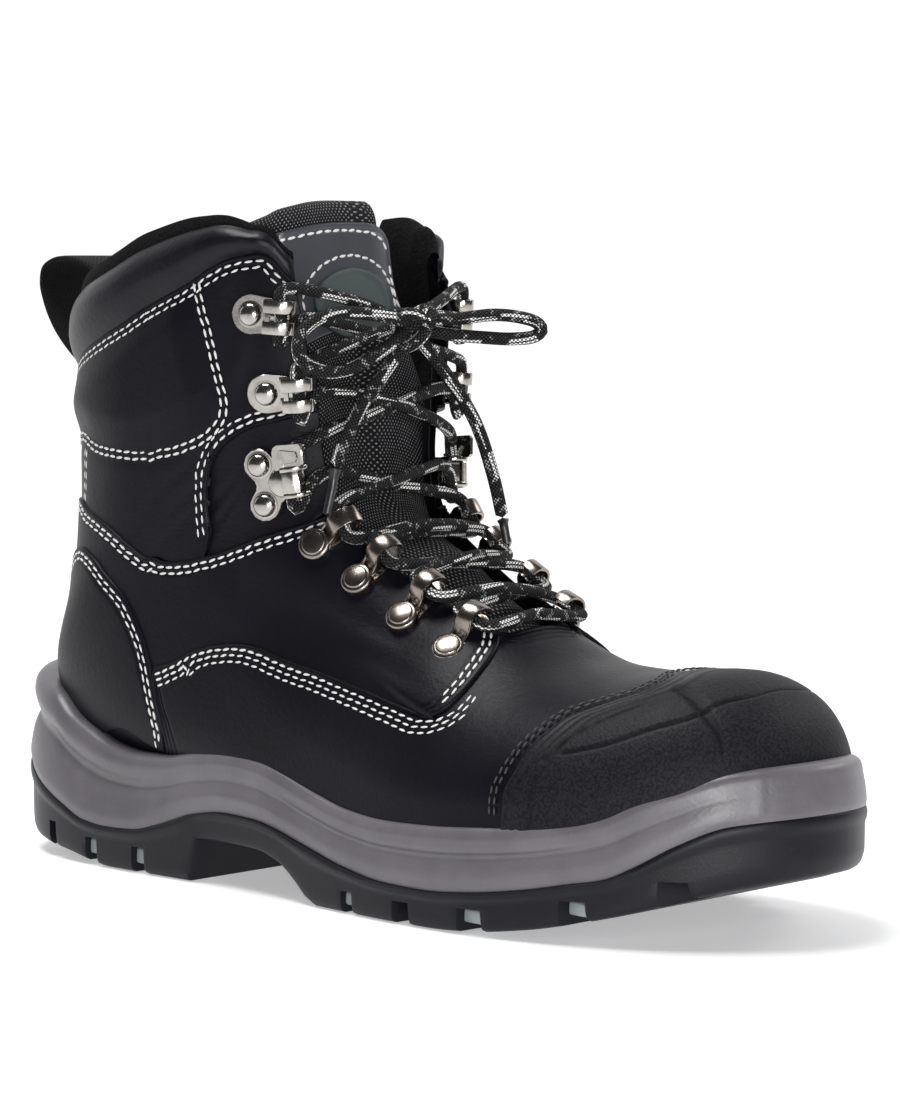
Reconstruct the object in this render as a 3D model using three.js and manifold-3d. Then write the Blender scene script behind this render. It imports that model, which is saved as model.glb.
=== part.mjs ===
// A right-foot zip safety boot: hollow leather upper, two-part sole, tongue, hooks, laces and side zip.
// Millimetres, +X to the toe, -Y to the little-toe side, +Z up, standing on Z = 0.
import * as THREE from 'three';
import { mergeVertices } from 'three/addons/utils/BufferGeometryUtils.js';
import Module from 'manifold-3d';

const wasm = await Module();
wasm.setup();

// Driving dimensions
const soleLength = 312;
const bootHeight = 206;
const ballWidth = 110;
const clearance = 0.3;
const upperWall = 2.4;
const overlayThickness = 1.5;
const toeCapThickness = 2.2;
const insoleThickness = 5;
const bottomMargin = 17;
const treadDepth = 5.5;
const grooveReach = 17;
const coreInset = 5;
const tongueGap = 0.8;
const tongueThickness = 5;
const tongueRecess = 8;
const collarPad = 7;
const collarBulge = 2.2;
const webbingWidth = 20;
const webbingThickness = 1.6;
const laceDiameter = 3.8;
const ringBand = 5.5;
const rivetRadius = 4.4;
const rivetHeight = 2.2;
const plateThickness = 1.2;
const hookWidth = 7.2;
const zipTapeWidth = 15;
const zipTeethWidth = 6;
const zipTapeThickness = 0.9;
const zipTeethHeight = 1.2;
const sliderLength = 11;
const sliderHeight = 2.6;
const pinRadius = 0.8;
const pinGap = 0.3;
const pullLength = 24;
const pullWidth = 7;
const pullThickness = 1.3;

// Mesh steps
const stepsAlongForm = 22;
const stepsAroundForm = 26;
const stepsAlongSole = 26;

// The last's sections, a row from the toe tip over the instep to the shaft's top.
// frontX, frontZ: the section's point on the ridge of the foot; backX, backZ: its point underneath
// or behind. outer, inner: half widths to the little-toe and big-toe side; low: how far the widest
// point sits to the back.
// roundF, roundB: roundness exponents in front and behind; middle: sideways place of the section's middle.
// Lengths are shares of soleLength along X, of bootHeight along Z and of ballWidth along Y.
const lastColumns = [
  'frontX', 'frontZ', 'backX', 'backZ', 'outer', 'inner', 'low', 'roundF', 'roundB', 'middle',
];
const lastRows = [
  [0.965, 0.218, 0.963, 0.184, 0.064, 0.055, 0.00, 2.20, 2.2, 0.009],
  [0.962, 0.248, 0.960, 0.150, 0.136, 0.118, -0.10, 2.20, 3.0, 0.009],
  [0.955, 0.277, 0.951, 0.138, 0.205, 0.182, -0.20, 2.25, 3.4, 0.009],
  [0.942, 0.303, 0.936, 0.131, 0.273, 0.245, -0.25, 2.30, 4.0, 0.009],
  [0.920, 0.325, 0.912, 0.126, 0.336, 0.305, -0.30, 2.35, 4.0, 0.011],
  [0.885, 0.339, 0.872, 0.117, 0.400, 0.364, -0.32, 2.35, 4.0, 0.011],
  [0.837, 0.337, 0.821, 0.107, 0.450, 0.409, -0.34, 2.30, 4.0, 0.007],
  [0.779, 0.334, 0.756, 0.097, 0.477, 0.427, -0.36, 2.25, 4.0, 0.000],
  [0.718, 0.346, 0.679, 0.087, 0.482, 0.423, -0.38, 2.20, 4.0, -0.005],
  [0.657, 0.388, 0.596, 0.087, 0.459, 0.400, -0.40, 2.15, 4.0, -0.009],
  [0.596, 0.447, 0.506, 0.102, 0.423, 0.373, -0.40, 2.20, 4.0, -0.005],
  [0.545, 0.500, 0.410, 0.126, 0.391, 0.359, -0.38, 2.30, 4.0, 0.000],
  [0.506, 0.549, 0.308, 0.146, 0.368, 0.355, -0.30, 2.40, 3.6, 0.000],
  [0.484, 0.597, 0.199, 0.150, 0.359, 0.359, -0.18, 2.60, 3.0, 0.000],
  [0.474, 0.650, 0.095, 0.165, 0.355, 0.364, -0.05, 2.80, 2.3, 0.000],
  [0.471, 0.709, 0.050, 0.252, 0.364, 0.373, 0.00, 3.00, 2.1, 0.000],
  [0.470, 0.767, 0.073, 0.364, 0.377, 0.382, 0.00, 3.00, 2.1, 0.000],
  [0.470, 0.825, 0.087, 0.485, 0.391, 0.391, 0.00, 3.00, 2.1, 0.000],
  [0.468, 0.883, 0.090, 0.607, 0.400, 0.400, 0.00, 3.00, 2.1, 0.000],
  [0.465, 0.942, 0.088, 0.728, 0.405, 0.405, 0.00, 3.00, 2.1, 0.000],
  [0.462, 1.000, 0.093, 0.835, 0.405, 0.405, 0.00, 3.00, 2.1, 0.000],
  [0.460, 1.058, 0.103, 0.942, 0.400, 0.400, 0.00, 3.00, 2.1, 0.000],
];
const lastStation = lastRows.length - 1;

// The sole's outline: half widths, as shares of ballWidth, at shares of soleLength from the heel.
const outlineRows = [
  [0.000, 0.000, 0.000],
  [0.012, 0.126, 0.126],
  [0.040, 0.225, 0.225],
  [0.090, 0.306, 0.306],
  [0.160, 0.351, 0.347],
  [0.250, 0.378, 0.364],
  [0.350, 0.396, 0.374],
  [0.450, 0.434, 0.394],
  [0.550, 0.486, 0.422],
  [0.640, 0.522, 0.450],
  [0.710, 0.531, 0.473],
  [0.790, 0.504, 0.473],
  [0.870, 0.437, 0.428],
  [0.930, 0.342, 0.347],
  [0.970, 0.234, 0.234],
  [0.990, 0.135, 0.135],
  [1.000, 0.000, 0.000],
];

// The sole's heights, as shares of bootHeight, at shares of soleLength:
// tread: underside; core: floor of the cup in the outsole; joint: where the two parts meet;
// rim: midsole's top.
const soleRows = [
  [0.000, 0.039, 0.078, 0.155, 0.286],
  [0.026, 0.029, 0.073, 0.143, 0.277],
  [0.064, 0.022, 0.063, 0.119, 0.262],
  [0.096, 0.017, 0.058, 0.100, 0.250],
  [0.128, 0.013, 0.053, 0.083, 0.222],
  [0.160, 0.006, 0.049, 0.067, 0.204],
  [0.196, 0.000, 0.046, 0.062, 0.186],
  [0.240, 0.000, 0.046, 0.064, 0.179],
  [0.282, 0.000, 0.053, 0.078, 0.180],
  [0.322, 0.000, 0.068, 0.097, 0.189],
  [0.334, 0.063, 0.080, 0.101, 0.191],
  [0.378, 0.065, 0.083, 0.109, 0.197],
  [0.423, 0.063, 0.083, 0.107, 0.193],
  [0.458, 0.051, 0.070, 0.099, 0.182],
  [0.487, 0.024, 0.053, 0.089, 0.170],
  [0.512, 0.000, 0.044, 0.081, 0.160],
  [0.560, 0.000, 0.039, 0.065, 0.145],
  [0.615, 0.000, 0.036, 0.054, 0.139],
  [0.673, 0.000, 0.036, 0.052, 0.141],
  [0.730, 0.004, 0.039, 0.058, 0.146],
  [0.785, 0.014, 0.046, 0.069, 0.153],
  [0.827, 0.026, 0.056, 0.081, 0.163],
  [0.859, 0.037, 0.066, 0.090, 0.177],
  [0.888, 0.048, 0.073, 0.111, 0.199],
  [0.917, 0.061, 0.085, 0.138, 0.215],
  [0.955, 0.077, 0.102, 0.165, 0.235],
  [0.981, 0.085, 0.112, 0.175, 0.250],
  [1.000, 0.092, 0.121, 0.184, 0.257],
];

// Steps in the side walls: share of the wall's height, then how far it lies inside the outline, in
// millimetres, at the heel, the waist and the toe.
const midsoleSteps = [
  [0.00, 0.6, 1.0, 0.4],
  [0.22, 0.6, 0.2, 0.4],
  [0.46, 2.5, 0.9, 0.8],
  [0.53, 3.6, 1.2, 1.0],
  [0.66, 3.1, 0.6, 1.3],
  [0.90, 3.2, 1.1, 2.2],
  [1.00, 5.2, 2.6, 5.0],
];
const outsoleSteps = [
  [0.00, 3.4, 3.0, 4.2],
  [0.18, 0.9, 0.9, 1.2],
  [0.76, 0.8, 0.8, 0.6],
  [0.84, 0.1, 0.1, 0.0],
  [1.00, 0.3, 0.3, 0.2],
];

// Grooves between the lugs: place along the sole as a share of soleLength, and width in millimetres.
const edgeGrooves = [
  [0.106, 5], [0.176, 7], [0.250, 7], [0.568, 6], [0.644, 8], [0.728, 10], [0.832, 9], [0.915, 8],
];

// Side-view outlines of the overlays, as shares of soleLength and bootHeight.
const counterEdge = [
  [0.120, 0.497], [0.160, 0.476], [0.185, 0.461], [0.209, 0.435], [0.228, 0.410], [0.242, 0.379],
  [0.255, 0.350], [0.264, 0.317], [0.273, 0.279], [0.280, 0.243], [0.283, 0.214],
];
const vampEdge = [
  [0.272, 0.300], [0.298, 0.321], [0.325, 0.334], [0.352, 0.350], [0.367, 0.355], [0.389, 0.356],
  [0.417, 0.351], [0.442, 0.340], [0.494, 0.326], [0.549, 0.309], [0.610, 0.287], [0.641, 0.276],
  [0.655, 0.276], [0.665, 0.286], [0.670, 0.301], [0.671, 0.318], [0.669, 0.338], [0.672, 0.400],
];
const toeCapEdge = [
  [0.756, 0.140], [0.757, 0.195], [0.765, 0.222], [0.773, 0.246], [0.785, 0.268], [0.801, 0.287],
  [0.822, 0.304], [0.838, 0.318], [0.836, 0.331], [0.822, 0.345],
];

// The throat's half opening in degrees around the form, at stations of the last.
const throatRows = [
  [8.70, 12], [8.85, 17], [9.30, 20], [10.0, 23], [10.6, 25.5], [11.6, 28], [12.3, 32.5], [12.8, 33.5],
  [13.5, 32], [14.7, 31], [15.8, 32], [17.1, 35.5], [18.2, 38.5], [21.0, 40],
];
const tongueRows = [
  [8.20, 13], [8.70, 21], [9.30, 27], [10.6, 32], [12.3, 39], [14.0, 43], [16.0, 47], [18.0, 52], [19.9, 55],
];

// The padded collar: degrees around from the front, its seam station and its top station.
const collarRows = [
  [38, 18.00, 18.35], [44, 18.65, 19.15], [50, 19.00, 19.50], [58, 19.14, 19.75], [66, 19.20, 19.92],
  [76, 19.15, 20.05], [90, 19.05, 20.12], [110, 19.00, 20.12], [128, 19.00, 20.10], [150, 19.00, 20.20],
  [180, 19.00, 20.30],
];
// The collar's cross-section: share of its height, then its offset from the form with bulge and pad as units.
const collarProfile = [
  [0.00, 0.1, 0.0], [0.16, 0.8, 0.0], [0.45, 1.0, 0.0], [0.78, 0.6, 0.0], [1.00, 0.0, 0.30],
  [1.00, 0.0, 0.70],
  [0.76, 0.0, 1.0], [0.30, 0.0, 1.0], [0.00, 0.0, 0.8],
];

// Where the hooks and rings are riveted: station of the last, degrees around from the front, and
// degrees that the piece is turned downward.
const ringSeats = [[9.33, 34.0, 0], [10.20, 37.0, 6], [11.25, 39.0, 8], [12.39, 43.0, 11]];
const lockSeat = [14.30, 55.5, 28];
const hookSeats = [[16.10, 52.5, 28], [17.90, 57.0, 28]];

const materials = {
  leather: { color: 0x1b1b1f, roughness: 0.45, metalness: 0 },
  bumper: { color: 0x202023, roughness: 0.7, metalness: 0 },
  mesh: { color: 0x141416, roughness: 0.9, metalness: 0 },
  midsole: { color: 0x6a6468, roughness: 0.6, metalness: 0 },
  rubber: { color: 0x1d1e22, roughness: 0.55, metalness: 0 },
  badge: { color: 0x46504f, roughness: 0.7, metalness: 0 },
  lace: { color: 0x262628, roughness: 0.9, metalness: 0 },
  insole: { color: 0x2a2a2e, roughness: 0.9, metalness: 0 },
  nickel: { color: 0xb9b7b0, roughness: 0.25, metalness: 1 },
  gunmetal: { color: 0x7a736c, roughness: 0.3, metalness: 1 },
};

const boot = new THREE.Group();

// Numbers between the rows of a table, by a curve that never overshoots its rows.
function between(rows, column, at) {
  const last = rows.length - 1;
  const slope = (i) => (rows[i + 1][column] - rows[i][column]) / (rows[i + 1][0] - rows[i][0]);
  const tangent = (i) => {
    if (i === 0) return slope(0);
    if (i === last) return slope(last - 1);
    const before = slope(i - 1);
    const after = slope(i);
    return before * after <= 0 ? 0 : (2 * before * after) / (before + after);
  };
  const x = THREE.MathUtils.clamp(at, rows[0][0], rows[last][0]);
  let i = 0;
  while (i < last - 1 && x > rows[i + 1][0]) i += 1;
  const width = rows[i + 1][0] - rows[i][0];
  const t = (x - rows[i][0]) / width;
  const a = rows[i][column];
  const b = rows[i + 1][column];
  const ta = tangent(i) * width;
  const tb = tangent(i + 1) * width;
  return a + t * ta + t * t * (3 * (b - a) - 2 * ta - tb) + t * t * t * (2 * (a - b) + ta + tb);
}

// One column of the last's table at a station, as a Catmull-Rom curve through the rows.
function lastValue(name, station) {
  const column = lastColumns.indexOf(name);
  const i = Math.min(Math.floor(station), lastStation - 1);
  const t = station - i;
  const row = (k) => lastRows[THREE.MathUtils.clamp(k, 0, lastStation)][column];
  const [p, a, b, n] = [row(i - 1), row(i), row(i + 1), row(i + 2)];
  const square = 2 * p - 5 * a + 4 * b - n;
  const cube = 3 * (a - b) + n - p;
  return 0.5 * (2 * a + (b - p) * t + square * t * t + cube * t * t * t);
}

// A point of the last's skin: station along, degrees around, 0 on the ridge and negative to the
// little-toe side.
function lastPoint(station, degrees) {
  const angle = THREE.MathUtils.degToRad(degrees);
  const c = Math.cos(angle);
  const s = Math.sin(angle);
  const roundness = 2 / lastValue(c >= 0 ? 'roundF' : 'roundB', station);
  let along = Math.sign(c) * Math.abs(c) ** roundness;
  along += lastValue('low', station) * (1 - along * along);
  const half = lastValue(s >= 0 ? 'inner' : 'outer', station) * ballWidth;
  const front = [lastValue('frontX', station) * soleLength, lastValue('frontZ', station) * bootHeight];
  const back = [lastValue('backX', station) * soleLength, lastValue('backZ', station) * bootHeight];
  const mix = (1 + along) / 2;
  return new THREE.Vector3(
    back[0] + (front[0] - back[0]) * mix,
    lastValue('middle', station) * ballWidth + Math.sign(s) * half * Math.abs(s) ** roundness,
    back[1] + (front[1] - back[1]) * mix,
  );
}

// The outward direction of the skin, from points a little to each side.
function lastNormal(station, degrees) {
  const reach = 0.25;
  const low = Math.max(0, station - reach);
  const high = Math.min(lastStation, station + reach);
  const alongForm = lastPoint(high, degrees).sub(lastPoint(low, degrees));
  const aroundForm = lastPoint(station, degrees + 5).sub(lastPoint(station, degrees - 5));
  return aroundForm.cross(alongForm).normalize();
}

function raised(station, degrees, height) {
  return lastPoint(station, degrees).addScaledVector(lastNormal(station, degrees), height);
}

// A closed solid from points and triangles, turned so that its faces point out.
function solidFrom(points, triangles) {
  let volume = 0;
  const normal = new THREE.Vector3();
  for (const [a, b, c] of triangles) volume += normal.crossVectors(points[a], points[b]).dot(points[c]);
  const faces = volume < 0 ? triangles.map(([a, b, c]) => [a, c, b]) : triangles;
  return new wasm.Manifold(new wasm.Mesh({
    numProp: 3,
    vertProperties: new Float32Array(points.flatMap((p) => [p.x, p.y, p.z])),
    triVerts: new Uint32Array(faces.flat()),
  }));
}

function solidOf(geometry) {
  geometry.deleteAttribute('normal');
  geometry.deleteAttribute('uv');
  const merged = mergeVertices(geometry, 1e-4);
  return new wasm.Manifold(new wasm.Mesh({
    numProp: 3,
    vertProperties: new Float32Array(merged.attributes.position.array),
    triVerts: new Uint32Array(merged.index.array),
  }));
}

function add(name, solid, material) {
  const { vertProperties, triVerts, numProp } = solid.getMesh();
  const geometry = new THREE.BufferGeometry();
  const positions = new Float32Array((vertProperties.length / numProp) * 3);
  for (let i = 0; i < positions.length / 3; i += 1) {
    positions.set(vertProperties.subarray(i * numProp, i * numProp + 3), i * 3);
  }
  geometry.setAttribute('position', new THREE.BufferAttribute(positions, 3));
  geometry.setIndex(new THREE.BufferAttribute(new Uint32Array(triVerts), 1));
  geometry.computeVertexNormals();
  const mesh = new THREE.Mesh(geometry, new THREE.MeshStandardMaterial(materials[material]));
  mesh.name = name;
  boot.add(mesh);
  return mesh;
}

const middleOf = (ring) => ring.reduce((sum, p) => sum.add(p), new THREE.Vector3()).divideScalar(ring.length);

// Rings of points joined into a closed body, its two ends closed by a fan.
function ringsSolid(rings, endPoints) {
  const count = rings[0].length;
  const points = [...rings.flat(), ...endPoints];
  const triangles = [];
  for (let i = 0; i < rings.length - 1; i += 1) {
    for (let j = 0; j < count; j += 1) {
      const k = (j + 1) % count;
      const [a, b, c, d] = [i * count + j, i * count + k, (i + 1) * count + k, (i + 1) * count + j];
      triangles.push([a, b, c], [a, c, d]);
    }
  }
  const top = (rings.length - 1) * count;
  for (let j = 0; j < count; j += 1) {
    const k = (j + 1) % count;
    triangles.push([points.length - 2, k, j], [points.length - 1, top + j, top + k]);
  }
  return solidFrom(points, triangles);
}

// The whole last, grown or shrunk by an offset.
function lastSolid(grow) {
  const rings = [];
  for (let i = 0; i <= stepsAlongForm; i += 1) {
    const station = (lastStation * i) / stepsAlongForm;
    const ring = [];
    for (let j = 0; j < stepsAroundForm; j += 1) {
      ring.push(raised(station, (360 * j) / stepsAroundForm, grow));
    }
    rings.push(ring);
  }
  return ringsSolid(rings, [middleOf(rings[0]), middleOf(rings[rings.length - 1])]);
}

// A curved sheet with thickness: place(u, v, face) gives its inner (0) and outer (1) face.
function sheetSolid(stepsU, stepsV, place) {
  const points = [];
  for (const face of [0, 1]) {
    for (let i = 0; i <= stepsU; i += 1) {
      for (let j = 0; j <= stepsV; j += 1) points.push(place(i / stepsU, j / stepsV, face));
    }
  }
  const at = (face, i, j) => face * (stepsU + 1) * (stepsV + 1) + i * (stepsV + 1) + j;
  const triangles = [];
  const quad = (a, b, c, d) => triangles.push([a, b, c], [a, c, d]);
  for (let i = 0; i < stepsU; i += 1) {
    for (let j = 0; j < stepsV; j += 1) {
      quad(at(0, i, j), at(0, i, j + 1), at(0, i + 1, j + 1), at(0, i + 1, j));
      quad(at(1, i, j), at(1, i + 1, j), at(1, i + 1, j + 1), at(1, i, j + 1));
    }
    quad(at(0, i, 0), at(0, i + 1, 0), at(1, i + 1, 0), at(1, i, 0));
    quad(at(0, i, stepsV), at(1, i, stepsV), at(1, i + 1, stepsV), at(0, i + 1, stepsV));
  }
  for (let j = 0; j < stepsV; j += 1) {
    quad(at(0, 0, j), at(1, 0, j), at(1, 0, j + 1), at(0, 0, j + 1));
    quad(at(0, stepsU, j), at(0, stepsU, j + 1), at(1, stepsU, j + 1), at(1, stepsU, j));
  }
  return solidFrom(points, triangles);
}

// A flat outline in X and Z, in millimetres, drawn across the boot from one Y to another.
function sidePrism(outline, fromY, toY) {
  const shape = new THREE.Shape(outline.map(([x, z]) => new THREE.Vector2(x, z)));
  const geometry = new THREE.ExtrudeGeometry(shape, { depth: toY - fromY, bevelEnabled: false });
  geometry.rotateX(Math.PI / 2);
  geometry.translate(0, toY, 0);
  return solidOf(geometry);
}

const sized = (rows) => rows.map(([x, z]) => [x * soleLength, z * bootHeight]);
const beyond = 2 * ballWidth;

// The outline of the sole in plan, with an outward direction at each point.
function outlineRing(steps) {
  const rows = outlineRows.map(([s, outer, inner]) => [Math.acos(1 - 2 * s) / Math.PI, outer, inner]);
  const place = (share, side) => new THREE.Vector2(
    (soleLength * (1 - Math.cos(Math.PI * share))) / 2,
    side * between(rows, side < 0 ? 1 : 2, share) * ballWidth,
  );
  const ring = [];
  for (let i = 0; i <= steps; i += 1) ring.push(place(i / steps, -1));
  for (let i = steps - 1; i > 0; i -= 1) ring.push(place(i / steps, 1));
  return ring.map((point, i) => {
    const before = ring[(i + ring.length - 1) % ring.length];
    const after = ring[(i + 1) % ring.length];
    return { point, out: new THREE.Vector2(after.y - before.y, before.x - after.x).normalize() };
  });
}

const heelToWaist = 0.2;
const waistFrom = 0.36;
const toeFrom = 0.85;

function stepInset(row, share) {
  const heel = 1 - THREE.MathUtils.smoothstep(share, heelToWaist, waistFrom);
  const toe = THREE.MathUtils.smoothstep(share, toeFrom, 1);
  return row[1] * heel + row[2] * (1 - heel - toe) + row[3] * toe;
}

const heightAt = (column, share) => between(soleRows, column, share) * bootHeight;

// A layer of the sole between two height columns, its wall stepped by a table.
function soleLayer(lowColumn, highColumn, wallSteps, lowLift, highLift) {
  const ring = outlineRing(stepsAlongSole);
  const levels = wallSteps.map((row) => ring.map(({ point, out }) => {
    const share = point.x / soleLength;
    const low = heightAt(lowColumn, share) + lowLift;
    const high = heightAt(highColumn, share) + highLift;
    const inset = stepInset(row, share);
    return new THREE.Vector3(point.x - out.x * inset, point.y - out.y * inset, low + (high - low) * row[0]);
  }));
  const count = ring.length;
  const points = levels.flat();
  const triangles = [];
  const quad = (a, b, c, d) => triangles.push([a, b, c], [a, c, d]);
  for (let i = 0; i < levels.length - 1; i += 1) {
    for (let j = 0; j < count; j += 1) {
      const k = (j + 1) % count;
      quad(i * count + j, i * count + k, (i + 1) * count + k, (i + 1) * count + j);
    }
  }
  const top = (levels.length - 1) * count;
  for (let j = 0; j < stepsAlongSole; j += 1) {
    const [a, b] = [j, j + 1];
    const [c, d] = [(count - b) % count, (count - a) % count];
    for (const [base, turn] of [[0, true], [top, false]]) {
      const corners = [a, b, c, d].filter((n, i, all) => all.indexOf(n) === i).map((n) => base + n);
      for (let i = 1; i < corners.length - 1; i += 1) {
        const face = [corners[0], corners[i], corners[i + 1]];
        triangles.push(turn ? face.reverse() : face);
      }
    }
  }
  return solidFrom(points, triangles);
}

const treadColumn = 1;
const coreColumn = 2;
const jointColumn = 3;
const rimColumn = 4;

// The core fills the cup of the outsole up to the joint.
function coreSolid(inset, drop) {
  const rows = [[0, inset, inset, inset], [1, inset, inset, inset]];
  return soleLayer(coreColumn, rimColumn, rows, -drop, 0);
}

const outerLast = lastSolid(0);
const innerLast = lastSolid(-upperWall);
const seatLast = lastSolid(clearance);

function makeOutsole() {
  let outsole = soleLayer(treadColumn, jointColumn, outsoleSteps, 0, 0);
  outsole = outsole.subtract(coreSolid(coreInset - clearance, clearance));
  for (const [share, width] of edgeGrooves) {
    const x = share * soleLength;
    const rise = heightAt(treadColumn, share);
    const band = new THREE.BoxGeometry(width, beyond, 2 * treadDepth);
    band.translate(x, 0, rise);
    outsole = outsole.subtract(solidOf(band).subtract(soleKeep()));
  }
  const channelWidth = 6;
  const ends = [[0.13, 0.27], [0.57, 0.9]];
  for (const [from, to] of ends) {
    const channel = new THREE.BoxGeometry((to - from) * soleLength, channelWidth, 2 * treadDepth * 0.6);
    channel.rotateY(from > 0.5 ? -0.02 : 0);
    channel.translate(((from + to) / 2) * soleLength, 0, 0);
    outsole = outsole.subtract(solidOf(channel));
  }
  add('outsole', outsole, 'rubber');
}

// The middle of the tread that the edge grooves leave whole.
function soleKeep() {
  const ring = outlineRing(stepsAlongSole);
  const shape = new THREE.Shape(ring.map(({ point, out }) => new THREE.Vector2(
    point.x - out.x * grooveReach,
    point.y - out.y * grooveReach,
  )));
  const geometry = new THREE.ExtrudeGeometry(shape, { depth: bootHeight, bevelEnabled: false });
  geometry.translate(0, 0, -bootHeight / 2);
  return solidOf(geometry);
}

function makeMidsole() {
  const band = soleLayer(jointColumn, rimColumn, midsoleSteps, clearance, 0);
  const midsole = band.add(coreSolid(coreInset, 0)).subtract(seatLast);
  add('midsole', midsole, 'midsole');
}

// The hole in the upper's underside, within the lasting margin.
function bottomHole(margin) {
  const share = 0.11;
  const shape = new THREE.Shape(outlineRing(stepsAlongSole)
    .map(({ point, out }) => new THREE.Vector2(
      Math.max(point.x - out.x * margin, share * soleLength + margin - bottomMargin),
      point.y - out.y * margin,
    ))
    .filter((p, i, all) => i === 0 || p.distanceTo(all[i - 1]) > 0.5));
  const geometry = new THREE.ExtrudeGeometry(shape, { depth: 0.21 * bootHeight, bevelEnabled: false });
  return solidOf(geometry);
}

function makeInsole() {
  const top = soleRows.map(([share]) => share).filter((share) => share > 0.05 && share < 0.97);
  const underside = top.map((share) => {
    const rows = lastRows.map((row) => [row[2], row[3]]).filter((row, i) => i > 0 && i < 15).reverse();
    return [share * soleLength, between(rows, 1, share) * bootHeight + upperWall + insoleThickness];
  });
  const outline = [[0, -10], [soleLength, -10], [soleLength, underside[underside.length - 1][1] + 4]];
  outline.push(...underside.reverse(), [0, 0.21 * bootHeight]);
  const plug = bottomHole(bottomMargin + clearance).intersect(outerLast);
  const insole = lastSolid(-upperWall - clearance).add(plug).intersect(sidePrism(outline, -beyond, beyond));
  add('insole', insole, 'insole');
}

// The solid inside the skin's two offsets that a cut runs through.
function throatCut(side) {
  const deep = 12;
  const [from, to] = [throatRows[0][0], lastStation];
  return sheetSolid(24, 8, (u, v, face) => {
    const station = from + (to - from) * u;
    const half = between(throatRows, 1, station) + side;
    return raised(station, half * (2 * v - 1), face === 0 ? -deep : deep);
  });
}

// All that lies above the collar's seam, a filled body with its underside along the seam.
function aboveSeam(drop) {
  const deep = 5;
  const steps = 36;
  const ringAt = (offset, station, rise) => {
    const ring = [];
    for (let j = 0; j < steps; j += 1) {
      const degrees = (360 * j) / steps;
      const around = Math.min(degrees, 360 - degrees);
      const point = raised(station ?? between(collarRows, 1, around) - drop, degrees, offset);
      point.z += rise;
      ring.push(point);
    }
    return ring;
  };
  const rings = [ringAt(-deep, null, 0), ringAt(deep, null, 0), ringAt(deep, lastStation, 4 * deep)];
  return ringsSolid(rings, [middleOf(rings[0]), middleOf(rings[2])]);
}

const seamDrop = 0.03;

function makeUpper() {
  let upper = outerLast.subtract(innerLast);
  upper = upper.subtract(bottomHole(bottomMargin));
  upper = upper.subtract(throatCut(0));
  upper = upper.subtract(aboveSeam(seamDrop));
  add('upper', upper, 'leather');
}

// Overlays lie just outside the upper and stop above the sole's rim.
const overlayBase = lastSolid(clearance);
const overlaySkin = lastSolid(clearance + overlayThickness).subtract(overlayBase);
const capSkin = lastSolid(clearance + toeCapThickness).subtract(overlayBase);

const rimBlock = soleLayer(jointColumn, rimColumn, midsoleSteps, 0, 2 * clearance)
  .add(soleLayer(treadColumn, rimColumn, [[0, 0.9, 0.9, 0.9], [0.8, 0.9, 0.9, 0.9]], 0, 0));

function makeOverlays() {
  const counter = sized(counterEdge);
  const counterOutline = [[-20, 0.51 * bootHeight], ...counter, [0.283 * soleLength, 0], [-20, 0]];
  const counterSkin = overlaySkin.intersect(sidePrism(counterOutline, -beyond, beyond));
  add('heel_counter', counterSkin.subtract(rimBlock), 'leather');
  const cap = sized(toeCapEdge);
  const capOutline = [[cap[0][0], 0], ...cap, [cap[9][0], bootHeight], [soleLength + 20, bootHeight]];
  capOutline.push([soleLength + 20, 0]);
  add('toe_cap', capSkin.intersect(sidePrism(capOutline, -beyond, beyond)).subtract(rimBlock), 'bumper');
  const gapX = 0.4;
  const vamp = sized(vampEdge);
  const lower = counter.slice(6).reverse().map(([x, z]) => [x + gapX, z]);
  const vampOutline = [[0.283 * soleLength + gapX, 0], ...lower, ...vamp];
  vampOutline.push([cap[9][0] - gapX, 0.4 * bootHeight]);
  vampOutline.push(...cap.slice().reverse().map(([x, z]) => [x - gapX, z]), [cap[0][0] - gapX, 0]);
  add('vamp', overlaySkin.intersect(sidePrism(vampOutline, -beyond, beyond)).subtract(rimBlock), 'leather');
}

// The padded collar between two angles around the form, thinner where the tongue lies behind it.
function collarSolid(turns) {
  const rings = [];
  for (const degrees of turns) {
    const around = Math.min(degrees, 360 - degrees);
    const seam = between(collarRows, 1, around);
    const top = between(collarRows, 2, around);
    const pad = upperWall + (collarPad - upperWall) * THREE.MathUtils.smoothstep(around, 60, 80);
    const bulge = collarBulge * THREE.MathUtils.smoothstep(around, 38, 58);
    rings.push(collarProfile.map(([share, out, inside]) => raised(
      seam + 0.02 + (top - seam) * share,
      degrees,
      out * bulge - inside * pad,
    )));
  }
  return ringsSolid(rings, [middleOf(rings[0]), middleOf(rings[rings.length - 1])]);
}

const collarStep = 10;
const turnsBetween = (from, to) => {
  const turns = [];
  for (let degrees = from; degrees <= to; degrees += collarStep) turns.push(degrees);
  return turns;
};

function makeCollar() {
  add('collar', collarSolid([95, ...turnsBetween(100, 320)]), 'leather');
  add('collar_inner_front', collarSolid([...turnsBetween(40, 80), 85]), 'leather');
}

function tongueFront(station, degrees, lift) {
  const half = between(throatRows, 1, station);
  const inside = Math.max(0, 1 - (degrees / (1.15 * half)) ** 2);
  const rise = THREE.MathUtils.smoothstep(station, 10.8, 13);
  return raised(station, degrees, -upperWall - tongueGap - tongueRecess * inside * rise + lift);
}

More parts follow.
